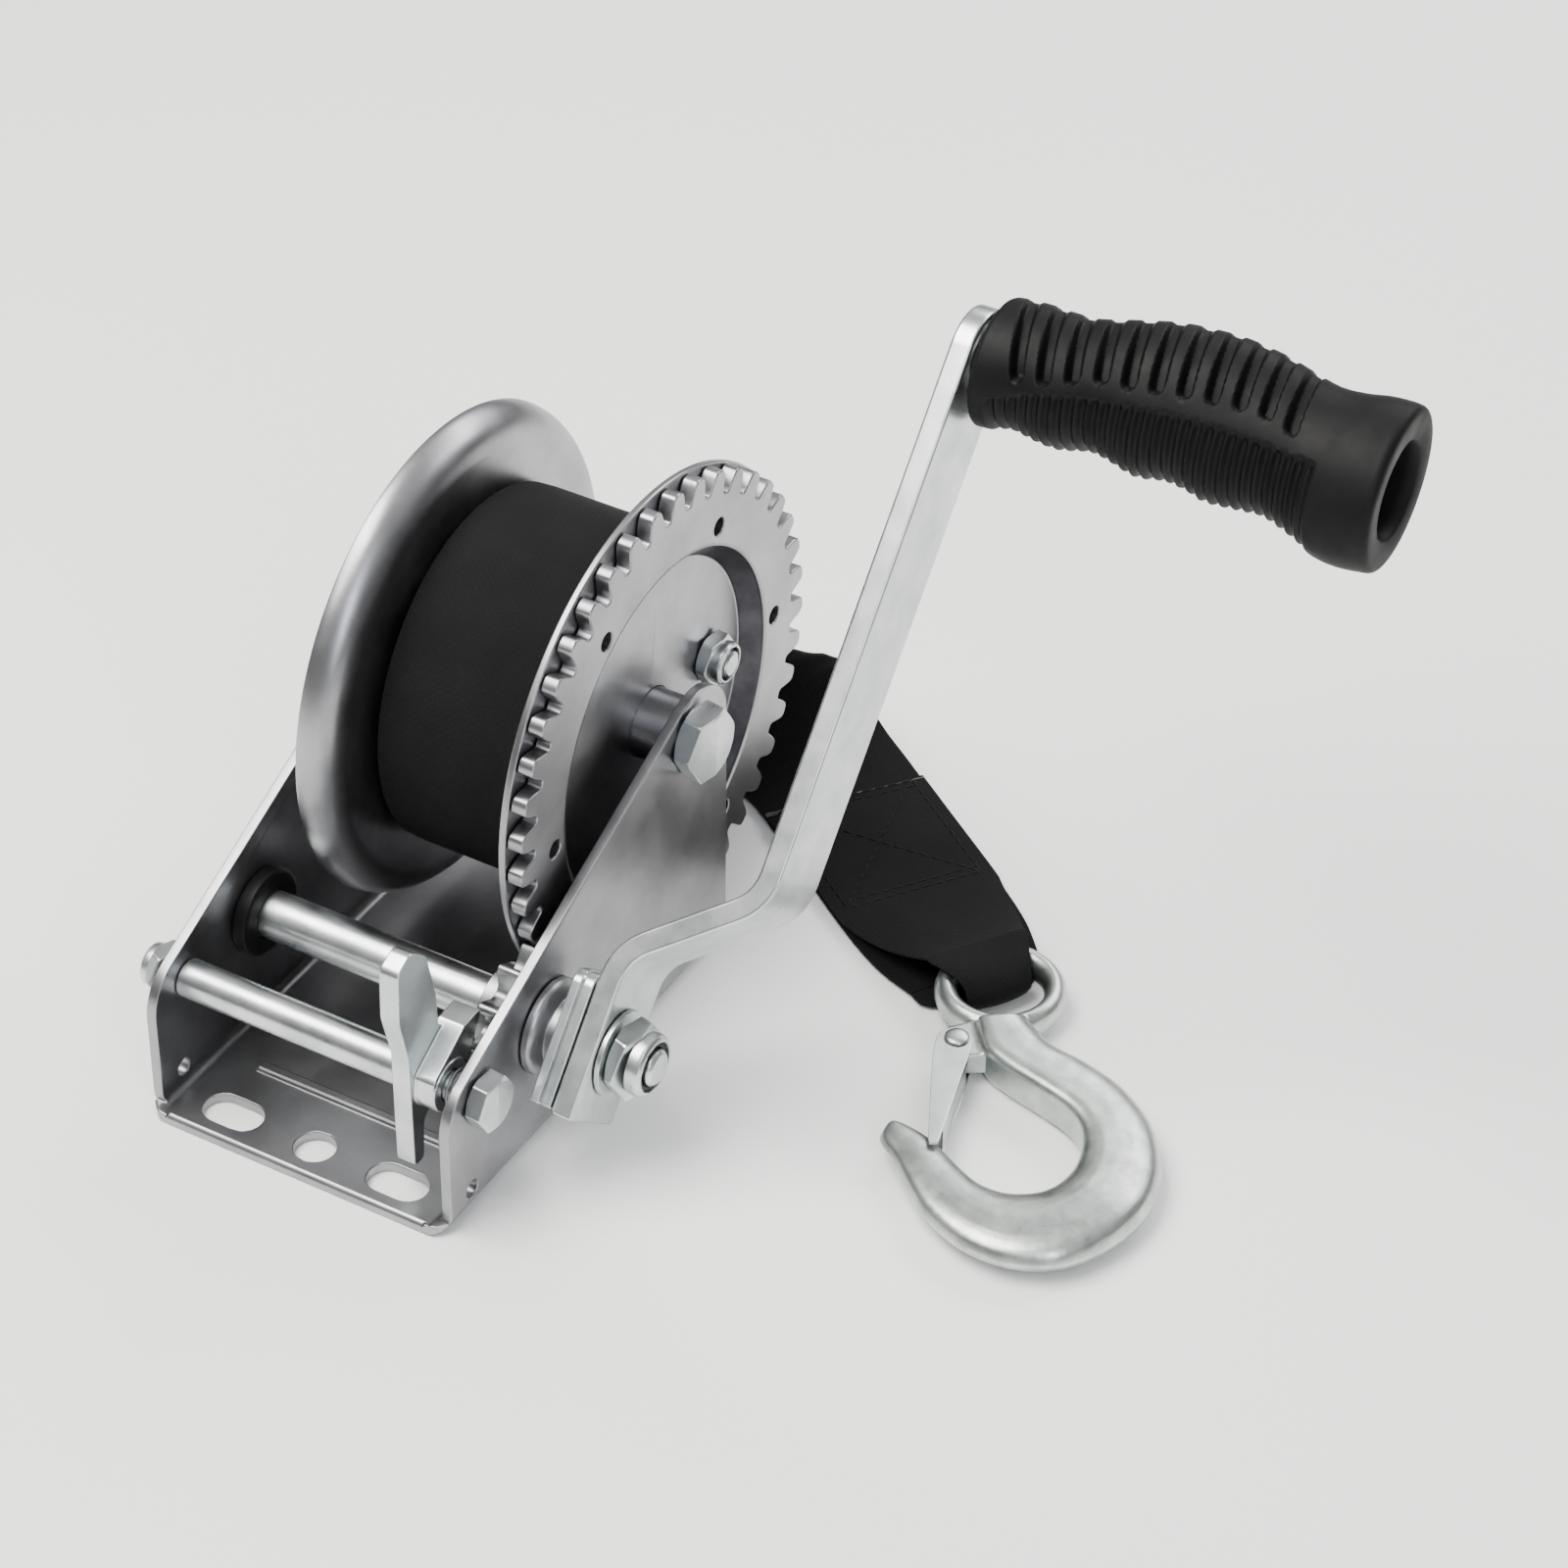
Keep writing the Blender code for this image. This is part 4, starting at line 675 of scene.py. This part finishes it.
# ---- drum --------------------------------------------------------------------------
def make_flange():
    """Pressed flange of the plain side: its rim is rolled over outwards."""
    face, sheet, lip, top = -20.3, 2.0, 9.0, 58.5
    profile = [(face - sheet, 12.4), (face, 12.4)]
    for k in range(13):
        a = math.pi / 2 * k / 12
        profile.append((face - lip + lip * math.cos(a), top + lip * math.sin(a)))
    for k in range(1, 6):
        a = math.pi * k / 6
        profile.append((face - lip - 0.6 * math.sin(a), top + lip - 1.0 + math.cos(a)))
    for k in range(12, -1, -1):
        a = math.pi / 2 * k / 12
        reach = lip - sheet
        profile.append((face - lip + reach * math.cos(a), top + reach * math.sin(a)))
    flange = turned("drum_flange_pressed", profile, DRUM, steps=160)
    drilled(flange, (0.0, *ANCHOR), ANCHOR_HOLE)
    softened(flange, 0.15, 1, 50)
    return finished(flange, "drum", GALVANISED, "zinc_steel", "drum_left_flange")


def make_ring():
    """Plain flange of the other side, behind the gear."""
    ring = turned("drum_flange_ring", [(32.2, 50.5), (32.2, 69.6), (32.5, 70.0), (33.9, 70.0),
                                       (34.2, 69.6), (34.2, 50.5)], DRUM, steps=160)
    softened(ring, 0.2, 2)
    return finished(ring, "drum", GALVANISED, "zinc_steel", "drum_right_flange")


def toothed(name, count, flank, root, tip, first, centre, start, width):
    """A toothed disc: each flank is shares of half a pitch at radii in millimetres."""
    half_pitch = math.pi / count
    tooth = [(-1.0, root)] + [(-share, radius) for share, radius in flank] + [(0.0, tip)]
    tooth += list(reversed(flank))
    outline = []
    for i in range(count):
        for share, radius in tooth:
            a = first + (i * 2 + share) * half_pitch
            outline.append((start * MM, centre[0] + radius * MM * math.cos(a),
                            centre[1] + radius * MM * math.sin(a)))
    return pressed(name, outline, (width * MM, 0, 0))


def make_gear():
    """Stamped spur gear with rounded teeth and a dished middle."""
    back, face = 34.5, 38.8
    flank = [(0.84, 62.95), (0.73, 63.4), (0.66, 64.6), (0.59, 66.0), (0.51, 67.4), (0.41, 68.6),
             (0.27, 69.25)]
    gear = toothed("gear_stamped", GEAR_TEETH, flank, 62.9, 69.4,
                   GEAR_LINE + math.pi / GEAR_TEETH, DRUM, back, face - back)
    hub = turned("gear_hub", [(30.6, 9.6), (30.6, 48.6), (31.4, 49.5), (back + 1, 49.8),
                              (back + 1, 9.6)], DRUM, steps=128)
    combined(gear, hub, "UNION")
    recess = turned("gear_recess", [
        (33.1, 8.0), (33.1, 44.2), (33.3, 44.8), (33.7, 45.3), (38.0, 48.4), (38.5, 48.9),
        (38.72, 49.6), (39.4, 50.4), (41.0, 50.4), (41.0, 8.0)], DRUM, steps=128)
    combined(gear, recess, "DIFFERENCE")
    for i in range(6):
        a = math.radians(2 + 60 * i)
        drilled(gear, (face * MM, DRUM[0] + 54 * MM * math.cos(a),
                       DRUM[1] + 54 * MM * math.sin(a)), 2.5)
    bore = turned("gear_bore", [(29.0, 2.0), (29.0, 9.6), (45.0, 9.6), (45.0, 2.0)], DRUM, 64)
    combined(gear, bore, "DIFFERENCE")
    drilled(gear, (0.0, *ANCHOR), ANCHOR_HOLE)
    softened(gear, 0.45, 3, 38)
    finished(gear, "drum", GALVANISED, "zinc_steel", "gear_wheel")
    # the faces of the dish's steep inner wall get this dark second material: painted shade in the
    # recess
    gear.data.materials.append(DISH_WALL_SHADE)
    for face in gear.data.polygons:
        y, z = face.center.y - DRUM[0], face.center.z - DRUM[1]
        reach = math.hypot(y, z) / MM
        inwards = (face.normal.y * y + face.normal.z * z) / reach / MM
        if 44.4 < reach < 48.9 and inwards < -0.5:
            face.material_index = 1
    return gear


def make_pinion():
    """Ten-tooth pinion with a plain boss beside its teeth."""
    flank = [(0.80, 12.8), (0.55, 13.6), (0.44, 14.8), (0.35, 16.2), (0.27, 17.4), (0.17, 18.4),
             (0.08, 18.75)]
    pinion = toothed("pinion_hobbed", PINION_TEETH, flank, 12.7, 18.8,
                     GEAR_LINE + math.pi, CRANK, 34.8, 6.2)
    boss = turned("pinion_boss", [(31.0, 6.7), (31.0, 11.5), (35.5, 11.5), (35.5, 6.7)], CRANK, 64)
    combined(pinion, boss, "UNION")
    bore = turned("pinion_bore", [(30.0, 2.0), (30.0, 6.8), (42.0, 6.8), (42.0, 2.0)], CRANK, 48)
    combined(pinion, bore, "DIFFERENCE")
    softened(pinion, 0.3, 2, 38)
    return finished(pinion, "crank", MACHINED, "plain_steel", "pinion_gear")


make_flange()
make_ring()
make_gear()
make_pinion()


# ---- bolts and nuts ----------------------------------------------------------------
def hexagon(name, start, end, flats, centre, turn=0.0):
    """A hexagon along X whose corners are chamfered at both ends."""
    low, high = sorted((start, end))
    deselect()
    bpy.ops.mesh.primitive_cylinder_add(
        vertices=6, radius=flats * MM / math.sqrt(3), depth=(high - low) * MM,
        location=((low + high) / 2 * MM, *centre), rotation=(turn, math.pi / 2, 0))
    piece = bpy.context.object
    piece.name = piece.data.name = name
    softened(settled(piece), 0.35, 3)
    wide = flats / math.sqrt(3)
    slope = (wide - flats * 0.475) * 0.55
    barrel = turned("chamfer", [
        (low - 0.01, 0.01), (low - 0.01, flats * 0.475), (low + slope, wide + 0.1),
        (high - slope, wide + 0.1), (high + 0.01, flats * 0.475), (high + 0.01, 0.01)],
        centre, steps=64)
    return combined(piece, barrel, "INTERSECT")


def thread(start, end, radius, pitch):
    """Profile of a thread's crests and roots, as turned rings."""
    way = 1 if end > start else -1
    count = max(1, int(abs(end - start) / pitch))
    profile = []
    for i in range(count):
        x = start + way * i * pitch
        profile += [(x, radius - 0.12 * pitch), (x + way * 0.35 * pitch, radius),
                    (x + way * 0.55 * pitch, radius), (x + way * 0.9 * pitch, radius - 0.5 * pitch)]
    profile += [(end - way * 0.4, radius - 0.4 * pitch), (end, radius - 0.9 * pitch)]
    return profile


def hex_bolt(name, head, seat, end, flats, radius, pitch, centre, node_name, body, turn=0.0):
    """A bolt with its head from head to seat and its threaded shank on to end."""
    piece = hexagon(name, head, seat, flats, centre, turn)
    way = 1 if end > seat else -1
    threaded = end - way * 12
    shank = [(seat - way * 1.0, 0.01), (seat - way * 1.0, radius), (threaded, radius)]
    shank += thread(threaded, end, radius, pitch) + [(end, 0.01)]
    combined(piece, turned("shank", shank, centre, steps=56), "UNION")
    shaded(piece, 20)
    return finished(piece, body, BRIGHT, "bright_zinc", node_name)


def lock_nut(name, start, end, flats, radius, centre, node_name, body, turn=0.0):
    """A nut that ends in a round collar, with a nylon ring inside it."""
    way = 1 if end > start else -1
    shoulder = end - way * abs(end - start) * 0.34
    piece = hexagon(name, start, shoulder, flats, centre, turn)
    collar = [(shoulder - way * 0.8, 0.01), (shoulder - way * 0.8, flats * 0.455),
              (end - way * 1.4, flats * 0.455), (end - way * 0.6, flats * 0.44),
              (end - way * 0.1, flats * 0.41), (end, flats * 0.385), (end, 0.01)]
    combined(piece, turned("collar", collar, centre, steps=64), "UNION")
    bore = radius + 0.25
    tool = [(start - way * 1, 0.01), (start - way * 1, bore), (end - way * 2.2, bore),
            (end - way * 2.2, flats * 0.36), (end + way * 1, flats * 0.36), (end + way * 1, 0.01)]
    combined(piece, turned("bore", tool, centre, steps=64), "DIFFERENCE")
    shaded(piece, 20)
    finished(piece, body, BRIGHT, "bright_zinc", node_name)
    ring = turned(name + "_nylon_ring", [
        (end - way * 2.0, bore), (end - way * 2.0, flats * 0.355), (end - way * 0.7, flats * 0.355),
        (end - way * 0.5, flats * 0.34), (end - way * 0.5, bore + 0.4), (end - way * 0.8, bore)],
        centre, steps=56)
    softened(ring, 0.1, 1)
    finished(ring, body, NYLON, "black_nylon")
    return piece


def grip_centre():
    """Y and Z of the grip's axis, at the far end of the crank."""
    return (CRANK[0] + CRANK_LENGTH * math.sin(LEAN), CRANK[1] + CRANK_LENGTH * math.cos(LEAN))


def make_fasteners():
    """All bolts and nuts, and the grip bolt's end, riveted over behind the arm."""
    hex_bolt("drum_bolt_hex", 53.3, 45.8, -57.8, 18, 6.0, 1.75, DRUM, "drum_bolt", "frame", 0.2)
    lock_nut("drum_nut_hex", -45.8, -56.3, 18, 6.0, DRUM, "drum_bolt_nut", "frame", 0.35)
    hex_bolt("pawl_bolt_hex", 51.3, 45.8, -54.3, 13.6, 4.0, 1.25, PAWL, "pawl_bolt", "frame", 0.1)
    lock_nut("pawl_nut_hex", -45.8, -53.6, 13, 4.0, PAWL, "pawl_bolt_nut", "frame", 0.4)
    hex_bolt("anchor_bolt_hex", -27.9, -22.6, 40.8, 13, 4.0, 1.25, ANCHOR,
             "strap_anchor_bolt", "drum", 0.3)
    lock_nut("anchor_nut_hex", 33.4, 40.2, 13, 4.0, ANCHOR, "strap_anchor_nut", "drum", 0.15)
    lock_nut("crank_nut_hex", 68.0, 77.2, 18.6, 4.9, CRANK, "crank_nut", "crank", 0.3)
    grip = grip_centre()
    hex_bolt("grip_bolt_hex", 193.0, 186.8, 90.0, 16, 5.0, 1.5, grip,
             "grip_bolt", "crank", 0.2)
    rivet = turned("grip_bolt_riveted_end", [
        (90.7, 0.01), (90.7, 7.2), (90.4, 7.3), (89.9, 7.0), (89.3, 5.9), (88.9, 4.2),
        (88.7, 2.0), (88.7, 0.01)], grip, steps=48)
    softened(rivet, 0.1, 1, 50)
    finished(rivet, "crank", BRIGHT, "bright_zinc")


make_fasteners()


# ---- grip --------------------------------------------------------------------------
# distance from the arm, height above the axis (towards the arm's end), depth below it
GRIP_PROFILE = [
    (0.0, 16.6, 16.4), (5.0, 17.2, 16.0), (10.0, 17.4, 15.0), (16.5, 17.3, 15.9),
    (22.5, 17.6, 16.2), (31.0, 19.8, 14.3), (36.5, 21.3, 15.0), (44.0, 22.9, 16.6),
    (51.5, 23.6, 15.4), (57.5, 23.9, 16.0), (63.0, 23.6, 17.2), (71.0, 22.6, 16.6),
    (78.0, 21.0, 16.2), (86.0, 19.4, 18.5), (93.0, 19.8, 21.0), (99.0, 20.9, 21.6),
    (105.0, 21.2, 21.0), (108.0, 20.6, 20.4)]
RIB_PITCH = 3.0
# each slot: where it crosses the top, where its lower end is, and how far down that is
SLOTS = [(5.0 + 7.45 * k, 12.0 + 7.0 * k, math.radians(reach)) for k, reach in enumerate(
    (103, 97, 92, 89, 87, 85, 84, 80, 77, 76, 77))]
# distance from the arm, and height of the ribs' upper border on the grip's sides
RIB_BORDER = [(0.0, -12.5), (6.0, -10.3), (17.0, -6.5), (28.0, -3.8), (39.5, -2.2), (52.0, -1.0),
              (65.5, -0.5), (78.0, -0.9), (90.5, -1.8), (108.0, -3.0)]


def grip_section(t, rows):
    """Upper and lower reach of the grip at a distance t from the arm."""
    for near, far in zip(rows, rows[1:]):
        if near.x <= t <= far.x:
            share = (t - near.x) / max(far.x - near.x, 1e-9)
            return near.lerp(far, share)
    return rows[-1]


def grip_sink(t, angle, height, radius):
    """How deep, in millimetres, the slots and ribs cut into the grip at one spot."""
    folded = angle if angle <= math.pi * 1.5 else angle - FULL
    from_top = abs(folded - math.pi / 2)
    sink = 0.0
    for top, low, reach in SLOTS:
        if not min(top, low) - 4 < t < max(top, low) + 4:
            continue
        along = min(from_top / reach, 1.0)
        beyond = max(from_top - reach, 0.0) * radius
        away = math.hypot(t - top - (low - top) * along, beyond)
        depth = 0.7 + 2.5 * ease(0.05, 0.6, along)
        sink = max(sink, depth * (1 - ease(1.0, 2.2, away)))
    for near, far in zip(RIB_BORDER, RIB_BORDER[1:]):
        if near[0] <= t <= far[0]:
            border = near[1] + (far[1] - near[1]) * (t - near[0]) / (far[0] - near[0])
    below = ease(border + 0.5, border - 0.5, height)
    inside = ease(4.2, 5.0, t) * ease(92.5, 88.5, t)
    ridge = (0.5 + 0.5 * math.cos(FULL * (t - 4.6) / RIB_PITCH)) ** 1.4
    return max(sink, below * inside * (0.35 + 1.35 * (1 - ridge)))


def make_grip():
    """Moulded grip: slots over its back, fine ribs below, and a hollow flared end."""
    rows = smooth([Vector(row) for row in GRIP_PROFILE], 6)
    around, step = 144, 0.36
    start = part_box("grip")[0][0]
    centre = grip_centre()
    out = Vector((0.0, math.sin(LEAN), math.cos(LEAN)))
    side = Vector((0.0, math.cos(LEAN), -math.sin(LEAN)))
    origin = Vector((start, *centre))
    angles = [FULL * i / around for i in range(around)]

    def ring(t, up, down, half, sinking=True, shrink=0.0):
        mid, tall = (up - down) / 2, (up + down) / 2
        points = []
        for a in angles:
            height = mid + tall * math.sin(a)
            wide = half * math.cos(a)
            sink = grip_sink(t, a, height, (tall + half) / 2) if sinking else 0.0
            pull = 1 - (sink + shrink) / math.hypot(wide, height - mid)
            points.append(origin + Vector((t * MM, 0, 0)) + side * wide * pull * MM
                          + out * (mid + (height - mid) * pull) * MM)
        return points

    rings = [ring(1.4 * (1 - math.cos(math.pi / 2 * k / 4)), rows[0].y, rows[0].z, 15.0, False,
                  1.4 * (1 - math.sin(math.pi / 2 * k / 4))) for k in range(4)]
    count = int((108.0 - 3.4) / step)
    for i in range(count + 1):
        t = 1.4 + (106.0 - 1.4) * i / count
        section = grip_section(t, rows)
        half = 15.0 + 2.6 * ease(80, 104, t)
        rings.append(ring(t, section.y, section.z, half))
    last = grip_section(106.0, rows)
    for k in range(1, 6):
        a = math.pi / 2 * k / 5
        rings.append(ring(106.0 + 2.0 * math.sin(a), last.y, last.z, 17.6, False,
                          2.0 * (1 - math.cos(a))))
    for t, up, half in ((107.7, 13.2, 11.3), (107.0, 12.4, 10.5), (104.0, 12.1, 10.2),
                        (94.0, 11.4, 10.1), (87.0, 10.9, 10.0), (86.0, 10.2, 9.6)):
        rings.append(ring(t, up, up, half, False))
    for t, up in ((86.0, 5.6), (60.0, 5.5), (30.0, 5.5), (0.0, 5.5)):
        rings.append(ring(t, up, up, up, False))
    grip = loft("grip_moulded", rings, closed=True)
    return finished(smoothed(grip, 60), "grip", RUBBER, "black_rubber", "grip")


make_grip()


# ---- hook --------------------------------------------------------------------------
HOOK_EDGES = [
    ((15.0, -9.0), (15.0, 5.0)), ((26.3, -8.6), (25.7, 10.2)), ((34.0, -4.2), (33.5, 18.0)),
    ((42.0, 2.4), (43.0, 25.0)), ((50.0, 8.5), (53.4, 29.0)), ((57.0, 10.9), (62.4, 30.2)),
    ((64.0, 10.2), (73.5, 28.9)), ((70.0, 7.6), (84.5, 24.3)), ((74.3, 4.0), (93.5, 16.4)),
    ((77.2, -0.5), (100.2, 5.4)), ((78.0, -5.3), (102.2, -4.5)), ((76.9, -11.4), (99.6, -15.6)),
    ((73.0, -16.8), (92.0, -25.4)), ((67.0, -20.5), (80.5, -32.3)), ((60.5, -23.7), (69.0, -35.2)),
    ((55.0, -26.8), (60.0, -37.0)), ((50.6, -30.6), (52.8, -39.0)), ((48.2, -34.0), (48.8, -37.0))]


def on_hook(a, b, z):
    """A place on the hook from millimetres: a to the bowl, b to its back, z up."""
    return HOOK_EYE + (HOOK_WAY * a + HOOK_BACK * b) * MM + Vector((0, 0, z * MM))


def make_hook():
    """Drop-forged eye hook: a thick oval bar that tapers to the tip."""
    inner = smooth([Vector((*near, 0.0)) for near, _ in HOOK_EDGES], 4)
    outer = smooth([Vector((*far, 0.0)) for _, far in HOOK_EDGES], 4)
    count = len(inner)
    rings = []
    for i, (near, far) in enumerate(zip(inner, outer)):
        slim = min(1.0, 0.40 + 0.60 * (count - 1 - i) / 36)
        centre, span = (near + far) / 2, (far - near) / 2
        crisp = 0.34 + 0.46 * ease(14, 36, i)
        ring = []
        for k in range(28):
            a = FULL * k / 28
            cos, sin = math.cos(a), math.sin(a)
            square = crisp if cos < 0 else 0.78
            flash = 0.5 / span.length if k == 0 else 0.0
            u = math.copysign(abs(cos) ** square, cos) + flash
            v = math.copysign(abs(sin) ** square, sin)
            spot = centre + span * u
            ring.append(on_hook(spot.x, spot.y, 6.3 * slim * v))
        rings.append(ring)
    hook = loft("hook_forged", rings)
    deselect()
    bpy.ops.mesh.primitive_torus_add(
        location=HOOK_EYE, major_radius=EYE_RADIUS, minor_radius=EYE_WIRE,
        major_segments=72, minor_segments=20)
    eye = bpy.context.object
    bpy.ops.object.mode_set(mode="EDIT")
    bpy.ops.transform.resize(value=(1, 1, EYE_HEIGHT / 2 / EYE_WIRE))
    settled(eye)
    combined(hook, eye, "UNION")
    lug = [on_hook(a, b, -3.2) for a, b in (
        (13.5, -9.0), (15.2, -15.8), (17.0, -18.4), (20.0, -19.6), (23.8, -19.3), (26.2, -17.0),
        (27.3, -13.0), (27.5, -8.5))]
    combined(hook, pressed("lug", lug, (0, 0, 6.4 * MM)), "UNION")
    applied(hook, "REMESH", mode="VOXEL", voxel_size=0.5 * MM)
    applied(hook, "SMOOTH", factor=0.5, iterations=3)
    bpy.ops.object.shade_smooth()
    return finished(hook, "frame", FORGED, "bright_zinc", "hook")


def make_latch():
    """Latch folded from thin sheet: two tapered cheeks and the web between them."""
    pivot = Vector((22.2, -15.1))
    tip = Vector((38.5, -11.8))
    along = tip.normalized()
    side = Vector((-along.y, along.x))

    def spot(u, v, z):
        flat = pivot + along * u + side * v
        return on_hook(flat.x, flat.y, z)

    corners = [(-3.8, 1.7), (-3.8, -2.2), (-2.2, -4.4), (0.5, -5.3), (7.0, -5.2),
               (20.0, -3.9), (tip.length - 0.8, -1.5), (tip.length, -0.9), (tip.length, 0.6),
               (tip.length - 0.8, 1.1), (6.0, 4.0), (1.0, 4.0), (-2.0, 3.5)]
    cheek = pressed("latch_folded", [spot(u, v, 4.3) for u, v in corners], (0, 0, 0.8 * MM))
    lower = pressed("cheek", [spot(u, v, -5.1) for u, v in corners], (0, 0, 0.8 * MM))
    combined(cheek, lower, "UNION")
    web = pressed("web", [spot(u, v, -4.6) for u, v in (
        (8.5, 3.75), (35.0, 1.5), (35.0, 0.7), (8.5, 2.95))], (0, 0, 9.2 * MM))
    combined(cheek, web, "UNION")
    softened(cheek, 0.2, 2)
    return finished(cheek, "latch", BRIGHT, "bright_zinc", "hook_latch")


def make_rivet():
    """The latch's rivet, with a domed head on both cheeks."""
    place = on_hook(22.2, -15.1, 0)
    head = [(5.35, 3.3), (5.6, 3.25), (5.95, 2.9), (6.2, 2.2), (6.3, 1.2), (6.32, 0.01)]
    profile = [(-z, r) for z, r in reversed(head)] + [(-5.35, 1.4), (5.35, 1.4)] + head
    rivet = turned("latch_rivet_domed", profile, place, steps=40, along="Z")
    return finished(smoothed(rivet, 50), "frame", BRIGHT, "bright_zinc", "latch_rivet")


hook = make_hook()
make_latch()
rivet = make_rivet()


# ---- the other parts ---------------------------------------------------------------
for part, rides_on, its_finish, its_slot, edge, rounds in (
        ("crank_arm", "crank", BRIGHT, "bright_zinc", 0.9, 3),
        ("crank_washer", "crank", BRIGHT, "bright_zinc", 0.2, 2),
        ("grip_head_washer", "crank", BRIGHT, "bright_zinc", 0.2, 2),
        ("grip_arm_washer", "crank", BRIGHT, "bright_zinc", 0.2, 2),
        ("pawl", "pawl", BRIGHT, "bright_zinc", 0.5, 3),
        ("pinion_shaft", "crank", BRIGHT, "bright_zinc", 0.25, 2),
        ("shaft_clip", "crank", MACHINED, "plain_steel", 0.15, 2),
        ("shaft_collar", "crank", GALVANISED, "zinc_steel", 0.3, 2),
        ("pawl_rod_sleeve", "frame", BRIGHT, "bright_zinc", 0.2, 2),
        ("drum_spacer_left", "frame", BRIGHT, "bright_zinc", 0.3, 2),
        ("drum_spacer_right", "frame", BRIGHT, "bright_zinc", 0.3, 2),
        ("drum_hub_tube", "drum", GALVANISED, "zinc_steel", 0.3, 2),
        ("pinion_bushing_left", "frame", NYLON, "black_nylon", 0.3, 2),
        ("pinion_bushing_right", "frame", NYLON, "black_nylon", 0.2, 2)):
    broken_edges(part, rides_on, its_finish, its_slot, edge, rounds)


def on_crank(x, y, z):
    """A place from millimetres: x along the shaft, z up the arm, y across it."""
    return (x * MM, CRANK[0] + (y * math.cos(LEAN) + z * math.sin(LEAN)) * MM,
            CRANK[1] + (z * math.cos(LEAN) - y * math.sin(LEAN)) * MM)


def make_backing_plate():
    """The crank's backing plate: two pressed plates, laid together."""
    plate = packed_copy("crank_backing_plate", "crank_backing_pair")
    band = pressed("band", [on_crank(56.3, y, z) for y, z in (
        (-16, -21), (16, -21), (16, 21), (-16, 21))], (0.5 * MM, 0, 0))
    core = pressed("core", [on_crank(56.0, y, z) for y, z in (
        (-12.2, -17.2), (12.2, -17.2), (12.2, 16.7), (-12.2, 16.7))], (1.2 * MM, 0, 0))
    combined(band, core, "DIFFERENCE")
    combined(plate, band, "DIFFERENCE")
    softened(plate, 0.45, 3)
    return finished(plate, "crank", BRIGHT, "bright_zinc", "crank_backing_plate")


def make_frame():
    """The folded frame: a copy whose front lip is rounded over by the press."""
    folded = packed_copy("frame", "frame_folded")
    edge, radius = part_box("frame")[0][1] / MM - 0.05, 1.9
    profile = [(edge - 2, 4.0), (edge + radius, 4.0)]
    for k in range(8):
        a = math.pi / 2 * (1 + k / 7)
        profile.append((edge + radius + radius * math.cos(a), 1.15 + radius * math.sin(a)))
    profile.append((edge - 2, 1.15))
    lip = pressed("lip", [(-39 * MM, y * MM, z * MM) for y, z in profile], (78 * MM, 0, 0))
    combined(folded, lip, "DIFFERENCE")
    softened(folded, 0.4, 2)
    return finished(folded, "frame", GALVANISED, "zinc_steel", "frame")


make_backing_plate()
make_frame()

for part in ("pawl_spring", "latch_spring"):
    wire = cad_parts[part]
    wire.data.materials.clear()
    wire.data.materials.append(MACHINED)
    smoothed(wire, 60)


# ---- studio ------------------------------------------------------------------------
def make_studio():
    """A pale sweep, a large soft key, a cooler strip for the metal, and a weak fill."""
    deselect()
    bpy.ops.mesh.primitive_plane_add(size=8, location=(0, 0, -0.0002))
    floor = bpy.context.object
    floor.name = "floor"
    made, _, shader = new_finish("pale_floor", Roughness=0.9)
    shader.inputs["Base Color"].default_value = linear("#fbfbfa")
    floor.data.materials.append(made)
    aim = Vector((0.06, 0.03, 0.07))
    for name, place, size, energy, colour in (
            ("key", (-0.35, -0.35, 1.35), (1.1, 0.8), 40, "#fffdf8"),
            ("strip", (0.95, -0.75, 0.85), (0.25, 0.9), 7, "#f3f7ff"),
            ("back", (0.25, 1.15, 0.95), (1.3, 0.5), 14, "#ffffff")):
        light = bpy.data.lights.new(name, "AREA")
        light.shape = "RECTANGLE"
        light.size, light.size_y = size
        light.energy = energy
        light.color = linear(colour)[:3]
        lamp = bpy.data.objects.new(name, light)
        lamp.location = place
        lamp.rotation_euler = (aim - Vector(place)).to_track_quat("-Z", "Y").to_euler()
        bpy.context.scene.collection.objects.link(lamp)
    world = bpy.data.worlds.new("studio")
    world.use_nodes = True
    sky = world.node_tree
    spot = node(sky, "ShaderNodeTexCoord").outputs["Generated"]
    split = node(sky, "ShaderNodeSeparateXYZ", {"Vector": spot})
    ramp = node(sky, "ShaderNodeValToRGB", {"Fac": split.outputs["Z"]})
    ramp.color_ramp.elements[0].color = linear("#3a3b3e")
    ramp.color_ramp.elements[1].color = linear("#ffffff")
    background = sky.nodes["Background"]
    sky.links.new(ramp.outputs["Color"], background.inputs["Color"])
    background.inputs["Strength"].default_value = 0.8
    bpy.context.scene.world = world


make_studio()
